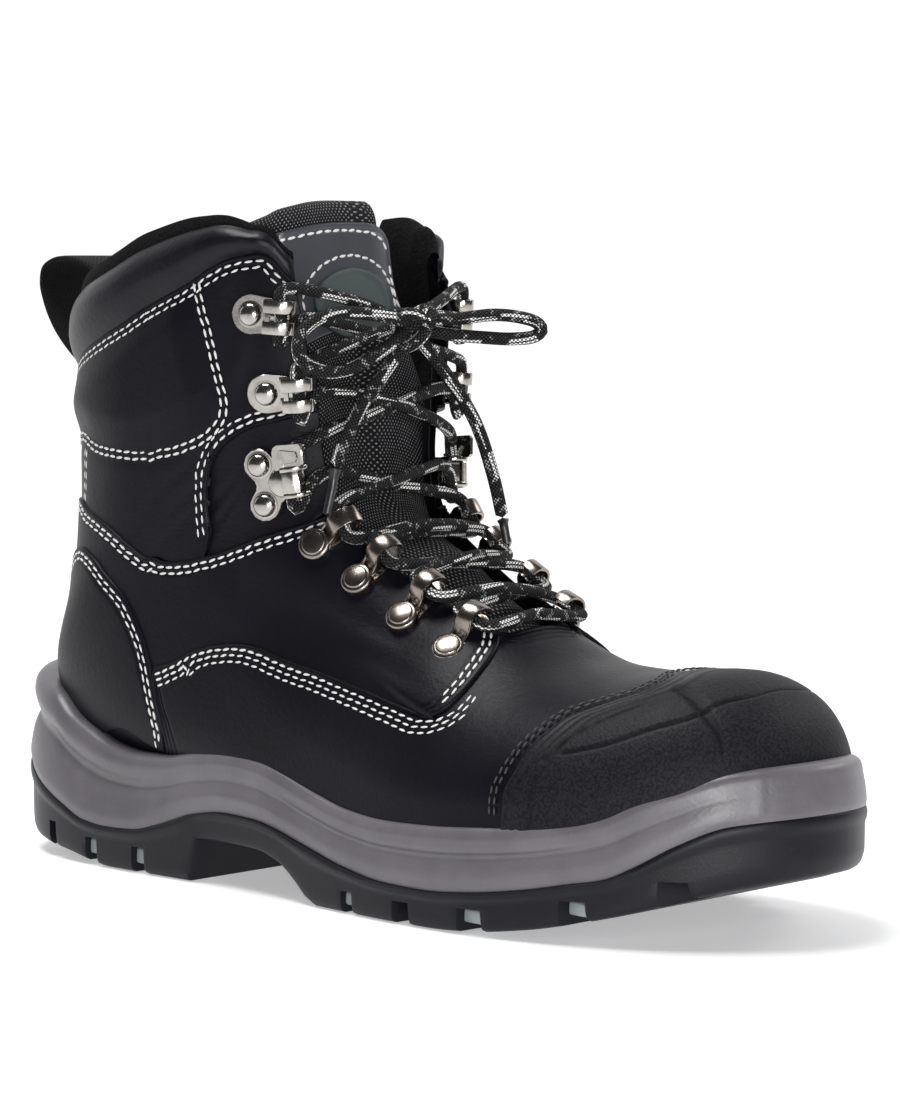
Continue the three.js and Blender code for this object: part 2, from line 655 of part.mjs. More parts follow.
function makeTongue() {
  const [from, to] = [tongueRows[0][0], tongueRows[tongueRows.length - 1][0]];
  const base = 0.5;
  const tongue = sheetSolid(16, 8, (u, v, face) => {
    const station = from + (to - from) * u;
    const degrees = between(tongueRows, 1, station) * (2 * v - 1);
    const thickness = tongueThickness * (base + (1 - base) * THREE.MathUtils.smoothstep(u, 0.1, 0.4));
    const edge = 0.35 + 0.65 * Math.sqrt(Math.max(0, 1 - (2 * v - 1) ** 6));
    return tongueFront(station, degrees, face === 0 ? -thickness * edge : 0);
  });
  add('tongue', tongue, 'mesh');
  const patchThickness = 1;
  const patch = sheetSolid(4, 6, (u, v, face) => {
    const station = 17.2 + 2.1 * u;
    const degrees = 30 * (2 * v - 1);
    return tongueFront(station, degrees, clearance + (face === 0 ? 0 : patchThickness));
  });
  add('tongue_patch', patch, 'leather');
  const badgeThickness = 1.4;
  const seat = 2 * clearance + patchThickness;
  const plate = sheetSolid(4, 6, (u, v, face) => {
    const station = 16.6 + 2.6 * u;
    const degrees = 34 * (2 * v - 1);
    return tongueFront(station, degrees, face === 0 ? seat : seat + badgeThickness);
  });
  const oval = new THREE.CylinderGeometry(1, 1, 60, 16);
  oval.rotateZ(Math.PI / 2);
  oval.scale(1, 15.5, 9.5);
  oval.translate(0.45 * soleLength, -2, 0.845 * bootHeight);
  add('tongue_badge', plate.intersect(solidOf(oval)), 'badge');
}

// A strip of constant thickness bent along a line of points in a plane, then given its width.
function stripSolid(line, thickness, width) {
  const points = line.map(([x, y]) => new THREE.Vector2(x, y));
  const sides = [1, -1].map((side) => points.map((point, i) => {
    const before = points[Math.max(0, i - 1)];
    const after = points[Math.min(points.length - 1, i + 1)];
    const along = after.clone().sub(before).normalize();
    const out = side * thickness / 2;
    return new THREE.Vector2(point.x - along.y * out, point.y + along.x * out);
  }));
  const shape = new THREE.Shape([...sides[0], ...sides[1].reverse()]);
  const geometry = new THREE.ExtrudeGeometry(shape, { depth: width, bevelEnabled: false });
  geometry.translate(0, 0, -width / 2);
  return geometry;
}

// The pull loop's line behind the collar: shares of the sole's length and of the boot's height.
const pullLoopRows = [
  [0.083, 0.743], [0.050, 0.777], [0.019, 0.816], [-0.002, 0.857], [-0.010, 0.888],
  [-0.003, 0.910], [0.013, 0.919], [0.045, 0.922], [0.077, 0.920], [0.099, 0.915],
];

function makePullLoop() {
  const line = pullLoopRows.map(([x, z]) => [x * soleLength, z * bootHeight]);
  const strip = stripSolid(line, webbingThickness, webbingWidth);
  strip.rotateX(Math.PI / 2);
  const collarClear = collarSolid(turnsBetween(150, 210));
  add('pull_loop', solidOf(strip).subtract(lastSolid(2 * clearance).add(collarClear)), 'mesh');
}

// The frame of a piece riveted to the upper: u toward the throat, v along it, n outward. The piece
// is turned downward by turn degrees.
function seatFrame([station, degrees, turn], side) {
  const point = lastPoint(station, side * degrees);
  const n = lastNormal(station, side * degrees);
  const toThroat = lastPoint(station, side * (degrees - 6)).sub(point);
  const u = toThroat.addScaledVector(n, -toThroat.dot(n)).normalize();
  u.applyAxisAngle(n, (side * turn * Math.PI) / 180);
  const v = new THREE.Vector3().crossVectors(n, u);
  return new THREE.Matrix4().makeBasis(u, v, n).setPosition(point);
}

const fitted = (geometry, frame) => solidOf(geometry.applyMatrix4(frame));

// A round plate with a domed rivet on it, turned about its own axis.
function rivetedPlate(u, v, plateRadius, sides) {
  const low = hardwareBase;
  const top = hardwareBase + plateThickness;
  const outline = [
    [0, low], [plateRadius, low], [plateRadius, top], [rivetRadius, top],
    [rivetRadius, top + 0.6 * rivetHeight],
    [0.6 * rivetRadius, top + rivetHeight], [0, top + rivetHeight],
  ];
  const plate = new THREE.LatheGeometry(outline.map(([r, h]) => new THREE.Vector2(r, h)), sides);
  plate.rotateX(Math.PI / 2);
  plate.translate(u, v, 0);
  return plate;
}

// An outline in u and n, with an optional hole, given its width along v.
function profileAlongV(outline, hole, width) {
  const shape = new THREE.Shape(outline.map(([u, n]) => new THREE.Vector2(u, n)));
  if (hole) shape.holes.push(new THREE.Path(hole.map(([u, n]) => new THREE.Vector2(u, n))));
  const geometry = new THREE.ExtrudeGeometry(shape, { depth: width, bevelEnabled: false });
  geometry.translate(0, 0, -width / 2);
  geometry.rotateX(Math.PI / 2);
  return geometry;
}

const hardwareBase = 0.8;
const lockLift = 0.05;
const ringEye = [10.6, 5.0];
const hookEye = [10.8, 5.2];

function ringUnit(seat, side) {
  const frame = seatFrame(seat, side);
  const foot = hardwareBase + 0.1;
  const outline = [
    [0, foot], [13.8, foot], [15.9, 3], [15.6, 6.4], [12.4, 9.6], [8.4, 9.5], [6, 7], [5.2, 1.6], [0, 1.6],
  ];
  const hole = [[6.8, 1.9], [7.4, 6.2], [9, 8.1], [11.8, 8.2], [14.1, 5.8], [14.3, 3.2], [13.2, 1.9]];
  const arch = fitted(profileAlongV(outline, hole, ringBand), frame);
  return arch.add(fitted(rivetedPlate(0, 0, 1.15 * rivetRadius, 8), frame));
}

function hookProfile(reach, height) {
  const foot = hardwareBase + 0.1;
  return [
    [0, foot], [reach - 3, foot], [reach, 3.4], [reach - 0.6, height - 1.6], [reach - 3.4, height],
    [reach - 7.6, height],
    [reach - 7.6, height - 1.3], [reach - 4, height - 1.4], [reach - 1.9, height - 2.6], [reach - 1.4, 4],
    [reach - 3.6, 1.7], [0, 1.7],
  ];
}

function hookUnit(seat, side) {
  const frame = seatFrame(seat, side);
  const curl = fitted(profileAlongV(hookProfile(15.2, 9.4), null, hookWidth), frame);
  return curl.add(fitted(rivetedPlate(0, 0, 6, 10), frame));
}

function lockUnit(seat, side) {
  const frame = seatFrame(seat, side).multiply(new THREE.Matrix4().makeTranslation(0, 0, lockLift));
  const spread = 4.8;
  const jaw = fitted(profileAlongV(hookProfile(15.8, 9.8), null, 1.15 * hookWidth), frame);
  const ears = [-spread, spread].map((v) => fitted(rivetedPlate(0, v, 5, 8), frame));
  return jaw.add(ears[0]).add(ears[1]);
}

const sideNames = { [-1]: 'outer', 1: 'inner' };
const sideNamed = (name) => Object.values(sideNames).map((side) => `${name}_${side}`);

function makeHardware() {
  for (const side of [-1, 1]) {
    ringSeats.forEach((seat, i) => {
      add(`d_ring_${sideNames[side]}_${i + 1}`, ringUnit(seat, side), 'gunmetal');
    });
    add(`lock_hook_${sideNames[side]}`, lockUnit(lockSeat, side), 'nickel');
    hookSeats.forEach((seat, i) => {
      add(`speed_hook_${sideNames[side]}_${i + 1}`, hookUnit(seat, side), 'nickel');
    });
  }
}

// A cord through points, as a tube with eight sides.
function cordSolid(points, steps, diameter) {
  const curve = new THREE.CatmullRomCurve3(points.map((p) => (p.isVector3 ? p : new THREE.Vector3(...p))));
  const shape = new THREE.Shape();
  for (let i = 0; i < 8; i += 1) {
    const angle = (Math.PI * i) / 4;
    const corner = [(Math.cos(angle) * diameter) / 2, (Math.sin(angle) * diameter) / 2];
    if (i === 0) shape.moveTo(...corner);
    else shape.lineTo(...corner);
  }
  shape.closePath();
  return solidOf(new THREE.ExtrudeGeometry(shape, { steps, extrudePath: curve, bevelEnabled: false }));
}

// Where the lace passes an eye: before it, in it and after it, from the toe upward.
function eyePoints(seat, side, eye, half, upward) {
  const frame = seatFrame(seat, side);
  const places = [-half, 0, half].map((v) => new THREE.Vector3(eye[0], v, eye[1]).applyMatrix4(frame));
  if (places[0].z > places[2].z) places.reverse();
  return upward ? places : places.reverse();
}

const ankleStation = 13;

// Where the lace bends over the throat's edge: after one seat and before the next, as shares of the
// way from seat to seat, and how far its skin lies over the last.
const edgeShares = { out: 0.4, back: 0.45 };
const edgeLift = 1.6;

function edgePoint(station, side) {
  return raised(station, side * (between(throatRows, 1, station) + 1), laceDiameter / 2 + edgeLift);
}

// The bow's knot: its place and its half sizes. The bow's points below are measured from its middle.
const knotPlace = new THREE.Vector3(0.5016 * soleLength, -3, 0.8155 * bootHeight);
const knotHalves = [5.5, 7.5, 6.5];
const fromKnot = ([x, y, z]) => knotPlace.clone().add(new THREE.Vector3(x, y, z));

function knotSolid(grow) {
  const knot = new THREE.IcosahedronGeometry(1, 1);
  knot.scale(...knotHalves.map((half) => half + grow));
  knot.translate(...knotPlace);
  return solidOf(knot);
}

// Half of the lace's straight stretch in each kind of eye.
const eyeHalves = { ring: 5, lock: 8, hook: 7.9 };
const hookLaceLift = 0.4;

const bowRoutes = {
  lace_loop_outer: [
    [2.4, -4.6, 1], [-1.3, -16, 3], [-6.5, -28.5, 3], [-10, -36.5, -2.5], [-9.5, -37.5, -9.5],
    [-6, -31.5, -13.5], [-3.5, -23, -13], [-0.5, -14, -8.5], [2.5, -5, -2.5],
  ],
  lace_loop_inner: [
    [2.5, 4, 1], [10.5, 8.5, 1.5], [19, 16, 2.5], [26, 22.5, 1], [29, 25, -2], [25, 21.5, -4.5],
    [16.5, 14, -4], [8, 7, -3], [2.5, 2.5, -1.5],
  ],
  lace_end_outer: [
    [0.5, -3.5, -6], [-2, -11, -16], [-2.5, -20, -25.5], [-2.5, -26.5, -35], [-3, -29.5, -41.5],
  ],
  lace_end_inner: [
    [2, 2, -4.5], [8.5, 7, -15.5], [14.5, 12.5, -29], [18.5, 16, -45], [20.5, 18, -57.5],
  ],
};

const tipRoutes = {
  lace_tip_outer: [[-3.1, -29.9, -42.4], [-3.9, -32.4, -55.5]],
  lace_tip_inner: [[20.7, 18.1, -58.2], [21.5, 19, -65.5]],
};

function makeLaces() {
  const room = knotSolid(2 * clearance);
  add('lace_knot', knotSolid(0), 'lace');
  let crossings = null;
  for (const start of [-1, 1]) {
    const eyes = [
      ...ringSeats.map((seat) => [seat, ringEye, eyeHalves.ring]),
      [lockSeat, [hookEye[0], hookEye[1] + lockLift], eyeHalves.lock],
      ...hookSeats.map((seat) => [seat, [hookEye[0], hookEye[1] + hookLaceLift], eyeHalves.hook]),
    ];
    const route = [];
    let side = start;
    const both = [-1, 1].map((s) => eyePoints(ringSeats[0], s, ringEye, eyeHalves.ring, true)[0]);
    route.push(both[0].clone().lerp(both[1], 0.5).add(new THREE.Vector3(1.5, 0, 2)));
    eyes.forEach(([seat, eye, half], i) => {
      const passing = eyePoints(seat, side, eye, half, true);
      if (i > 0) {
        const before = eyes[i - 1][0][0];
        const climb = seat[0] - before;
        const out = before > ankleStation ? edgePoint(before + edgeShares.out * climb, -side) : null;
        const back = seat[0] > ankleStation ? edgePoint(before + edgeShares.back * climb, side) : null;
        if (out) route.push(out);
        const middle = route[route.length - 1].clone().lerp(back ?? passing[0], 0.5);
        middle.add(new THREE.Vector3(2 + 0.8 * start, 0, 2 + 0.8 * start));
        route.push(middle);
        if (back) route.push(back);
      }
      route.push(...passing);
      side = -side;
    });
    route.push(fromKnot([-7, start * 20 + 2, 7]));
    route.push(knotPlace.clone());
    const cord = cordSolid(route, 56, laceDiameter);
    crossings = crossings ? crossings.add(cord) : cord;
  }
  add('lace_crossings', crossings.subtract(room), 'lace');
  for (const [name, points] of Object.entries(bowRoutes)) {
    const cord = cordSolid(points.map(fromKnot), 12, laceDiameter);
    add(name, cord.subtract(room), 'lace');
  }
  for (const [name, ends] of Object.entries(tipRoutes)) {
    const line = ends.map(fromKnot);
    line.splice(1, 0, line[0].clone().lerp(line[1], 0.5));
    add(name, cordSolid(line, 2, 0.75 * laceDiameter), 'rubber');
  }
}

// The zip lies on the inner side, from above the vamp to the collar's top.
const zipTop = [0.2865, 0.885];
const zipFoot = [0.2835, 0.385];

function zipBand(width, topTrim) {
  const [x1, z1] = [zipFoot[0] * soleLength, zipFoot[1] * bootHeight];
  const [x2, z2] = [zipTop[0] * soleLength, zipTop[1] * bootHeight - topTrim];
  const half = width / 2;
  return sidePrism([[x1 - half, z1], [x1 + half, z1], [x2 + half, z2], [x2 - half, z2]], 0, beyond);
}

function makeZip() {
  const tapeSkin = lastSolid(clearance + zipTapeThickness).subtract(overlayBase);
  add('zip_tape', tapeSkin.intersect(zipBand(zipTapeWidth, 0)), 'mesh');
  const teethLow = 2 * clearance + zipTapeThickness;
  const teethSkin = lastSolid(teethLow + zipTeethHeight).subtract(lastSolid(teethLow));
  const teeth = teethSkin.intersect(zipBand(zipTeethWidth, sliderLength + 1));
  add('zip_teeth', teeth, 'nickel');
  const top = new THREE.Vector3(zipTop[0] * soleLength, 0, zipTop[1] * bootHeight - sliderLength / 2);
  let seat = null;
  for (let station = 18.5; station < 20.5; station += 0.01) {
    for (let degrees = 84; degrees < 96; degrees += 0.25) {
      const point = lastPoint(station, degrees);
      const away = Math.hypot(point.x - top.x, point.z - top.z);
      if (!seat || away < seat.away) seat = { away, point };
    }
  }
  // Its own directions: x along the boot, y down the zip, z outward.
  const frame = new THREE.Matrix4().makeBasis(
    new THREE.Vector3(1, 0, 0),
    new THREE.Vector3(0, 0, -1),
    new THREE.Vector3(0, 1, 0),
  ).setPosition(seat.point);
  const sliderLow = teethLow + clearance;
  const body = new THREE.BoxGeometry(pullWidth + 1.5, sliderLength, sliderHeight);
  body.translate(0, 0, sliderLow + sliderHeight / 2);
  let slider = fitted(body, frame);
  const eyeWidth = 2.4;
  const earWidth = 1;
  const eyeOuter = pinRadius + pinGap + 0.9;
  const pinHeight = sliderLow + sliderHeight + eyeOuter + clearance;
  for (const x of [-1, 1]) {
    const ear = new THREE.BoxGeometry(earWidth, 2.4, pinHeight + pinRadius - sliderLow);
    ear.translate(x * (eyeWidth / 2 + pinGap + earWidth / 2), 0, (pinHeight + pinRadius + sliderLow) / 2);
    slider = slider.add(fitted(ear, frame));
  }
  const pin = new THREE.CylinderGeometry(pinRadius, pinRadius, eyeWidth + 2 * pinGap + earWidth, 8);
  pin.rotateZ(Math.PI / 2);
  pin.translate(0, 0, pinHeight);
  slider = slider.add(fitted(pin, frame));
  add('zip_slider', slider, 'nickel');
  const eye = new THREE.Shape();
  eye.absarc(0, 0, eyeOuter, 0, 2 * Math.PI);
  const hole = new THREE.Path();
  hole.absarc(0, 0, pinRadius + pinGap, 0, 2 * Math.PI);
  eye.holes.push(hole);
  const ring = new THREE.ExtrudeGeometry(eye, { depth: eyeWidth, bevelEnabled: false, curveSegments: 5 });
  ring.translate(0, 0, -eyeWidth / 2);
  ring.rotateY(Math.PI / 2);
  ring.translate(0, 0, pinHeight);
  const neck = new THREE.BoxGeometry(eyeWidth, 3, pullThickness);
  neck.translate(0, eyeOuter + 0.9, pinHeight);
  const blade = new THREE.BoxGeometry(pullWidth, pullLength, pullThickness);
  blade.translate(0, eyeOuter + 2 + pullLength / 2, pinHeight);
  add('zip_pull', fitted(ring, frame).add(fitted(neck, frame)).add(fitted(blade, frame)), 'nickel');
}

makeOutsole();
makeMidsole();
makeInsole();
makeUpper();
makeOverlays();
makeTongue();
makeCollar();
makePullLoop();
makeHardware();
makeLaces();
makeZip();

// The origin is under the middle of the box of everything but the lace's free lengths.
const looseLace = [
  'lace_knot', ...sideNamed('lace_loop'), ...sideNamed('lace_end'), ...sideNamed('lace_tip'),
];
const box = new THREE.Box3();
for (const mesh of boot.children) {
  if (!looseLace.includes(mesh.name)) box.expandByObject(mesh);
}
const middle = box.getCenter(new THREE.Vector3());
for (const mesh of boot.children) mesh.geometry.translate(-middle.x, -middle.y, -box.min.z);

export default boot;
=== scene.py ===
"""A right zip safety boot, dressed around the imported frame."""

import math

import bmesh
import bpy
import numpy as np
from mathutils import Matrix, Vector


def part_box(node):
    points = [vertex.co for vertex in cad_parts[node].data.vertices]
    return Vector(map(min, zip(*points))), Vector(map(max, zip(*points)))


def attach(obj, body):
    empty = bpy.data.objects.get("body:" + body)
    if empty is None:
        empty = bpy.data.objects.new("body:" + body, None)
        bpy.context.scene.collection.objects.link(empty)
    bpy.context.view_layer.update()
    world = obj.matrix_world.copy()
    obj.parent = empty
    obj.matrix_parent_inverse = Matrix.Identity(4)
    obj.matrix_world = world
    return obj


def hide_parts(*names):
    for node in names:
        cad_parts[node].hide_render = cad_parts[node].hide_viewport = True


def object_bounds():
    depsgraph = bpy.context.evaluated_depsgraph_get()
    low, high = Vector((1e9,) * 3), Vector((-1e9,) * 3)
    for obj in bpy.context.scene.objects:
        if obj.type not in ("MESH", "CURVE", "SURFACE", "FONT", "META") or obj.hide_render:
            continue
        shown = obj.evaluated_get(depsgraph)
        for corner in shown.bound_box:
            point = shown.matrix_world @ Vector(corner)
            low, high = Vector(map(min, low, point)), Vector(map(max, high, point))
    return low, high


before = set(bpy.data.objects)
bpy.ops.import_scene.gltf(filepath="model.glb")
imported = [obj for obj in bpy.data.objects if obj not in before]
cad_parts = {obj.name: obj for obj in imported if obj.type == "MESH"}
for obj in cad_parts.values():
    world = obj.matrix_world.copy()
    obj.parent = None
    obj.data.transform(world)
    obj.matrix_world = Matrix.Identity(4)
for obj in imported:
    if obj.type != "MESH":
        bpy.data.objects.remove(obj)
CAD_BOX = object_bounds()

bl_info = {
    "name": "Zip safety boot",
    "version": (1, 0, 0),
    "blender": (4, 5, 0),
    "location": "View3D > Sidebar > Boot",
    "description": "Leather, sole, hooks, laces and zip of a safety boot",
    "category": "Object",
}

MM = 0.001
SOLE_LENGTH = 312.0
BOOT_HEIGHT = 206.0
BALL_WIDTH = 110.0
TO_FRAME = np.array([-153.94, 2.37, 0.0])
BODY = "boot"
OUTER, INNER = -1, 1
SIDE_NAMES = {OUTER: "outer", INNER: "inner"}

# Levels over the last, in millimetres
WINDOW_LEVEL = -1.6
SHAFT_LEVEL = 0.0
QUARTER_LEVEL = 0.9
VAMP_LEVEL = 1.9
COUNTER_LEVEL = 1.9
FACING_LEVEL = 3.1
CAP_LEVEL = 2.7
LEATHER_THICKNESS = 1.5

# The last's sections from the toe tip to the shaft's top: front x, z, back x, z, outer and inner half
# width, low, roundness in front and behind, middle. Shares of the sole's length, height and ball width.
LAST = np.array([
    [0.965, 0.218, 0.963, 0.184, 0.064, 0.055, 0.0, 2.2, 2.2, 0.009],
    [0.962, 0.248, 0.96, 0.15, 0.136, 0.118, -0.1, 2.2, 3.0, 0.009],
    [0.955, 0.277, 0.951, 0.138, 0.205, 0.182, -0.2, 2.25, 3.4, 0.009],
    [0.942, 0.303, 0.936, 0.131, 0.273, 0.245, -0.25, 2.3, 4.0, 0.009],
    [0.92, 0.325, 0.912, 0.126, 0.336, 0.305, -0.3, 2.35, 4.0, 0.011],
    [0.885, 0.339, 0.872, 0.117, 0.4, 0.364, -0.32, 2.35, 4.0, 0.011],
    [0.837, 0.337, 0.821, 0.107, 0.45, 0.409, -0.34, 2.3, 4.0, 0.007],
    [0.779, 0.334, 0.756, 0.097, 0.477, 0.427, -0.36, 2.25, 4.0, 0.0],
    [0.718, 0.346, 0.679, 0.087, 0.482, 0.423, -0.38, 2.2, 4.0, -0.005],
    [0.657, 0.388, 0.596, 0.087, 0.459, 0.4, -0.4, 2.15, 4.0, -0.009],
    [0.596, 0.447, 0.506, 0.102, 0.423, 0.373, -0.4, 2.2, 4.0, -0.005],
    [0.545, 0.5, 0.41, 0.126, 0.391, 0.359, -0.38, 2.3, 4.0, 0.0],
    [0.506, 0.549, 0.308, 0.146, 0.368, 0.355, -0.3, 2.4, 3.6, 0.0],
    [0.484, 0.597, 0.199, 0.15, 0.359, 0.359, -0.18, 2.6, 3.0, 0.0],
    [0.474, 0.65, 0.095, 0.165, 0.355, 0.364, -0.05, 2.8, 2.3, 0.0],
    [0.471, 0.709, 0.05, 0.252, 0.364, 0.373, 0.0, 3.0, 2.1, 0.0],
    [0.47, 0.767, 0.073, 0.364, 0.377, 0.382, 0.0, 3.0, 2.1, 0.0],
    [0.47, 0.825, 0.087, 0.485, 0.391, 0.391, 0.0, 3.0, 2.1, 0.0],
    [0.468, 0.883, 0.09, 0.607, 0.4, 0.4, 0.0, 3.0, 2.1, 0.0],
    [0.465, 0.942, 0.088, 0.728, 0.405, 0.405, 0.0, 3.0, 2.1, 0.0],
    [0.462, 1.0, 0.093, 0.835, 0.405, 0.405, 0.0, 3.0, 2.1, 0.0],
    [0.46, 1.058, 0.103, 0.942, 0.4, 0.4, 0.0, 3.0, 2.1, 0.0],
])

# Seams as (station along the last, degrees around it from the front ridge), the same on both sides.
COLLAR_SEAM = [
    (18.24, 38.5), (18.4, 41.5), (18.55, 43.5), (18.84, 47), (19.02, 51), (19.14, 58.5), (19.2, 66),
    (19.17, 73.5), (19.08, 81), (19.05, 89), (19.0, 98), (19.0, 110), (19.02, 128), (19.0, 150), (19.0, 180),
]
PAD_SEAM = [
    (19.04, 77.3), (18.52, 76.1), (18.07, 74.6), (17.63, 73.4), (17.17, 72.1), (16.69, 70.3), (16.45, 69.8),
    (16.27, 70.6),
    (16.16, 72.6), (16.13, 75.4), (16.15, 78.5), (16.22, 81.6), (16.31, 84.7), (16.42, 87.3), (16.55, 89.3),
    (16.68, 91.4), (16.83, 95.8), (17.0, 100.7), (17.18, 106.2), (17.6, 120.3), (17.85, 128), (18.05, 150),
    (18.1, 180),
]
SHAFT_SEAM = [
    (12.8, 36), (13.01, 44.9), (13.27, 53.8), (13.53, 62.5), (13.65, 66.8), (13.78, 71), (13.92, 75.2),
    (14.08, 79.1),
    (14.24, 82.8), (14.42, 85.9), (14.62, 88.4), (14.86, 89.9), (15.16, 92.9), (15.51, 97.6), (15.88, 103.1),
    (16.21, 109.2), (16.53, 116.5), (16.88, 126.5), (17.04, 131), (17.35, 150), (17.5, 180),
]
COUNTER_EDGE = [
    (16.5, 180), (16.42, 150), (16.2, 122), (15.72, 111.5), (15.06, 102), (14.61, 97.5), (14.19, 95.5),
    (13.8, 94.7), (13.44, 95.5), (13.08, 98.5), (12.78, 103.5), (12.57, 110.5), (12.45, 122.5),
]
WING_EDGE = [
    (13.29, 95.5), (13.11, 91.5), (12.9, 88.5), (12.69, 85), (12.49, 82), (12.27, 79), (11.91, 75.5),
    (11.55, 73.2), (11.19, 70.8), (10.86, 68.3), (10.44, 65.7), (10.14, 64), (9.69, 61.5), (9.33, 59.5),
    (8.94, 57.7), (8.73, 56),
]
WING_TURN = [(8.74, 54.8), (8.62, 51.0), (8.58, 46.5), (8.6, 42.0)]
FACING_EDGE = [
    (9.02, 17.5), (8.86, 21.5), (8.76, 26), (8.67, 32.5), (8.61, 40), (8.61, 47), (8.66, 52.5), (8.78, 56.5),
]
WINDOW_EDGE = [
    (15.05, 31), (15.12, 37.5), (15.22, 43), (15.33, 49), (15.48, 55), (15.6, 61), (15.66, 66), (15.67, 70),
    (15.58, 73.5), (15.36, 75.6), (15.0, 76.0), (14.6, 76.0), (14.3, 76.0),
]
CAP_EDGE = [
    (6.08, 0), (6.02, 8), (5.87, 15.5), (5.94, 27.5), (6.39, 37), (6.72, 43.5), (6.87, 52), (6.99, 61.5),
    (7.05, 71), (7.11, 81.5), (7.08, 92.5), (7.05, 120),
]
CAP_GROOVE = [(6.38, 64), (5.67, 60), (5.07, 53), (4.38, 41), (4.23, 33), (3.81, 15), (3.8, 0)]
CAP_RIB = [(5.42, 22.5), (5.18, 26), (4.74, 30.5), (4.11, 40.5), (3.54, 50.5), (3.3, 58)]
CAP_FLANGE = [(6.62, 67), (6.42, 57), (6.2, 50), (5.88, 43), (5.62, 38.5)]
BACK_SEAM = [(17.72, 128), (17.4, 129), (17.1, 130), (16.75, 131)]
THROAT = [
    (8.7, 12), (8.85, 17), (9.3, 20), (10.0, 23), (10.6, 25.5), (11.6, 28), (12.3, 32.5), (12.8, 33.5),
    (13.5, 32), (14.7, 31), (15.8, 32), (17.1, 35.5), (18.2, 38.5), (21.0, 40),
]
# Where rings and hooks are riveted: station, degrees around, degrees turned downward.
RING_SEATS = [(9.33, 34.0, 0), (10.2, 37.0, 6), (11.25, 39.0, 8), (12.39, 43.0, 11)]
LOCK_SEAT = (14.3, 55.5, 28)
HOOK_SEATS = [(16.1, 52.5, 28), (17.9, 57.0, 28)]

# The sole's outline: outer and inner half width at shares of its length from the heel.
OUTLINE = [
    (0.0, 0.0, 0.0), (0.012, 0.126, 0.126), (0.04, 0.225, 0.225), (0.09, 0.306, 0.306),
    (0.16, 0.351, 0.347), (0.25, 0.378, 0.364), (0.35, 0.396, 0.374), (0.45, 0.434, 0.394),
    (0.55, 0.486, 0.422), (0.64, 0.522, 0.45), (0.71, 0.531, 0.473), (0.79, 0.504, 0.473),
    (0.87, 0.437, 0.428), (0.93, 0.342, 0.347), (0.97, 0.234, 0.234), (0.99, 0.135, 0.135),
    (1.0, 0.0, 0.0),
]
# Heights along the sole: share, tread, cup floor, joint, rim.
SOLE_HEIGHTS = [
    (0.0, 0.039, 0.078, 0.155, 0.286), (0.026, 0.029, 0.073, 0.143, 0.277), (0.064, 0.022, 0.063, 0.119, 0.262),
    (0.096, 0.017, 0.058, 0.1, 0.25), (0.128, 0.013, 0.053, 0.083, 0.222), (0.16, 0.006, 0.049, 0.067, 0.204),
    (0.196, 0.0, 0.046, 0.062, 0.186), (0.24, 0.0, 0.046, 0.064, 0.179), (0.282, 0.0, 0.053, 0.078, 0.18),
    (0.322, 0.0, 0.068, 0.097, 0.189), (0.334, 0.063, 0.08, 0.101, 0.191), (0.378, 0.065, 0.083, 0.109, 0.197),
    (0.423, 0.063, 0.083, 0.107, 0.193), (0.458, 0.051, 0.07, 0.099, 0.182), (0.487, 0.024, 0.053, 0.089, 0.17),
    (0.512, 0.0, 0.044, 0.081, 0.16), (0.56, 0.0, 0.039, 0.065, 0.145), (0.615, 0.0, 0.036, 0.054, 0.139),
    (0.673, 0.0, 0.036, 0.052, 0.141), (0.73, 0.004, 0.039, 0.058, 0.146), (0.785, 0.014, 0.046, 0.069, 0.153),
    (0.827, 0.026, 0.056, 0.081, 0.163), (0.859, 0.037, 0.066, 0.09, 0.177),
    (0.888, 0.048, 0.073, 0.111, 0.199),
    (0.917, 0.061, 0.085, 0.138, 0.215), (0.955, 0.077, 0.102, 0.165, 0.235), (1.0, 0.09, 0.115, 0.175, 0.243),
]
TREAD, JOINT, RIM = 1, 3, 4
# Gaps in the tread's edge: share of the length, width in millimetres.
EDGE_GAPS = [
    (0.106, 5), (0.176, 7), (0.25, 7), (0.568, 6), (0.644, 8), (0.728, 10), (0.832, 9), (0.915, 8),
]


def smooth(x, low, high):
    s = np.clip((np.asarray(x, float) - low) / (high - low), 0, 1)
    return s * s * (3 - 2 * s)


def bump(x, centre, width):
    return np.exp(-((np.asarray(x, float) - centre) / width) ** 2)


def hermite(xs, ys, tangent, clip=True):
    """A curve through the rows of a table, with the given slope at each."""
    def value(at):
        at = np.asarray(at, float)
        if clip:
            at = np.clip(at, xs[0], xs[-1])
        i = np.clip(np.searchsorted(xs, at, side="right") - 1, 0, len(xs) - 2)
        step = xs[i + 1] - xs[i]
        t = (at - xs[i]) / step
        a, b, ta, tb = ys[i], ys[i + 1], tangent[i] * step, tangent[i + 1] * step
        return a + t * ta + t * t * (3 * (b - a) - 2 * ta - tb) + t ** 3 * (2 * (a - b) + ta + tb)
    return value


def between(xs, ys):
    """A curve through the rows of a table that never overshoots them."""
    xs, ys = np.asarray(xs, float), np.asarray(ys, float)
    slope = np.diff(ys) / np.diff(xs)
    tangent = np.empty(len(xs))
    tangent[0], tangent[-1] = slope[0], slope[-1]
    product = slope[:-1] * slope[1:]
    total = np.where(product > 0, slope[:-1] + slope[1:], 1.0)
    tangent[1:-1] = np.where(product > 0, 2 * product / total, 0)
    return hermite(xs, ys, tangent)


def rounded(xs, ys):
    """A smooth curve through the rows of a table."""
    xs, ys = np.asarray(xs, float), np.asarray(ys, float)
    return hermite(xs, ys, np.gradient(ys, xs))


def run_of(line):
    """Length along a line of points up to each of them."""
    return np.concatenate([[0], np.cumsum(np.linalg.norm(np.diff(line, axis=0), axis=1))])


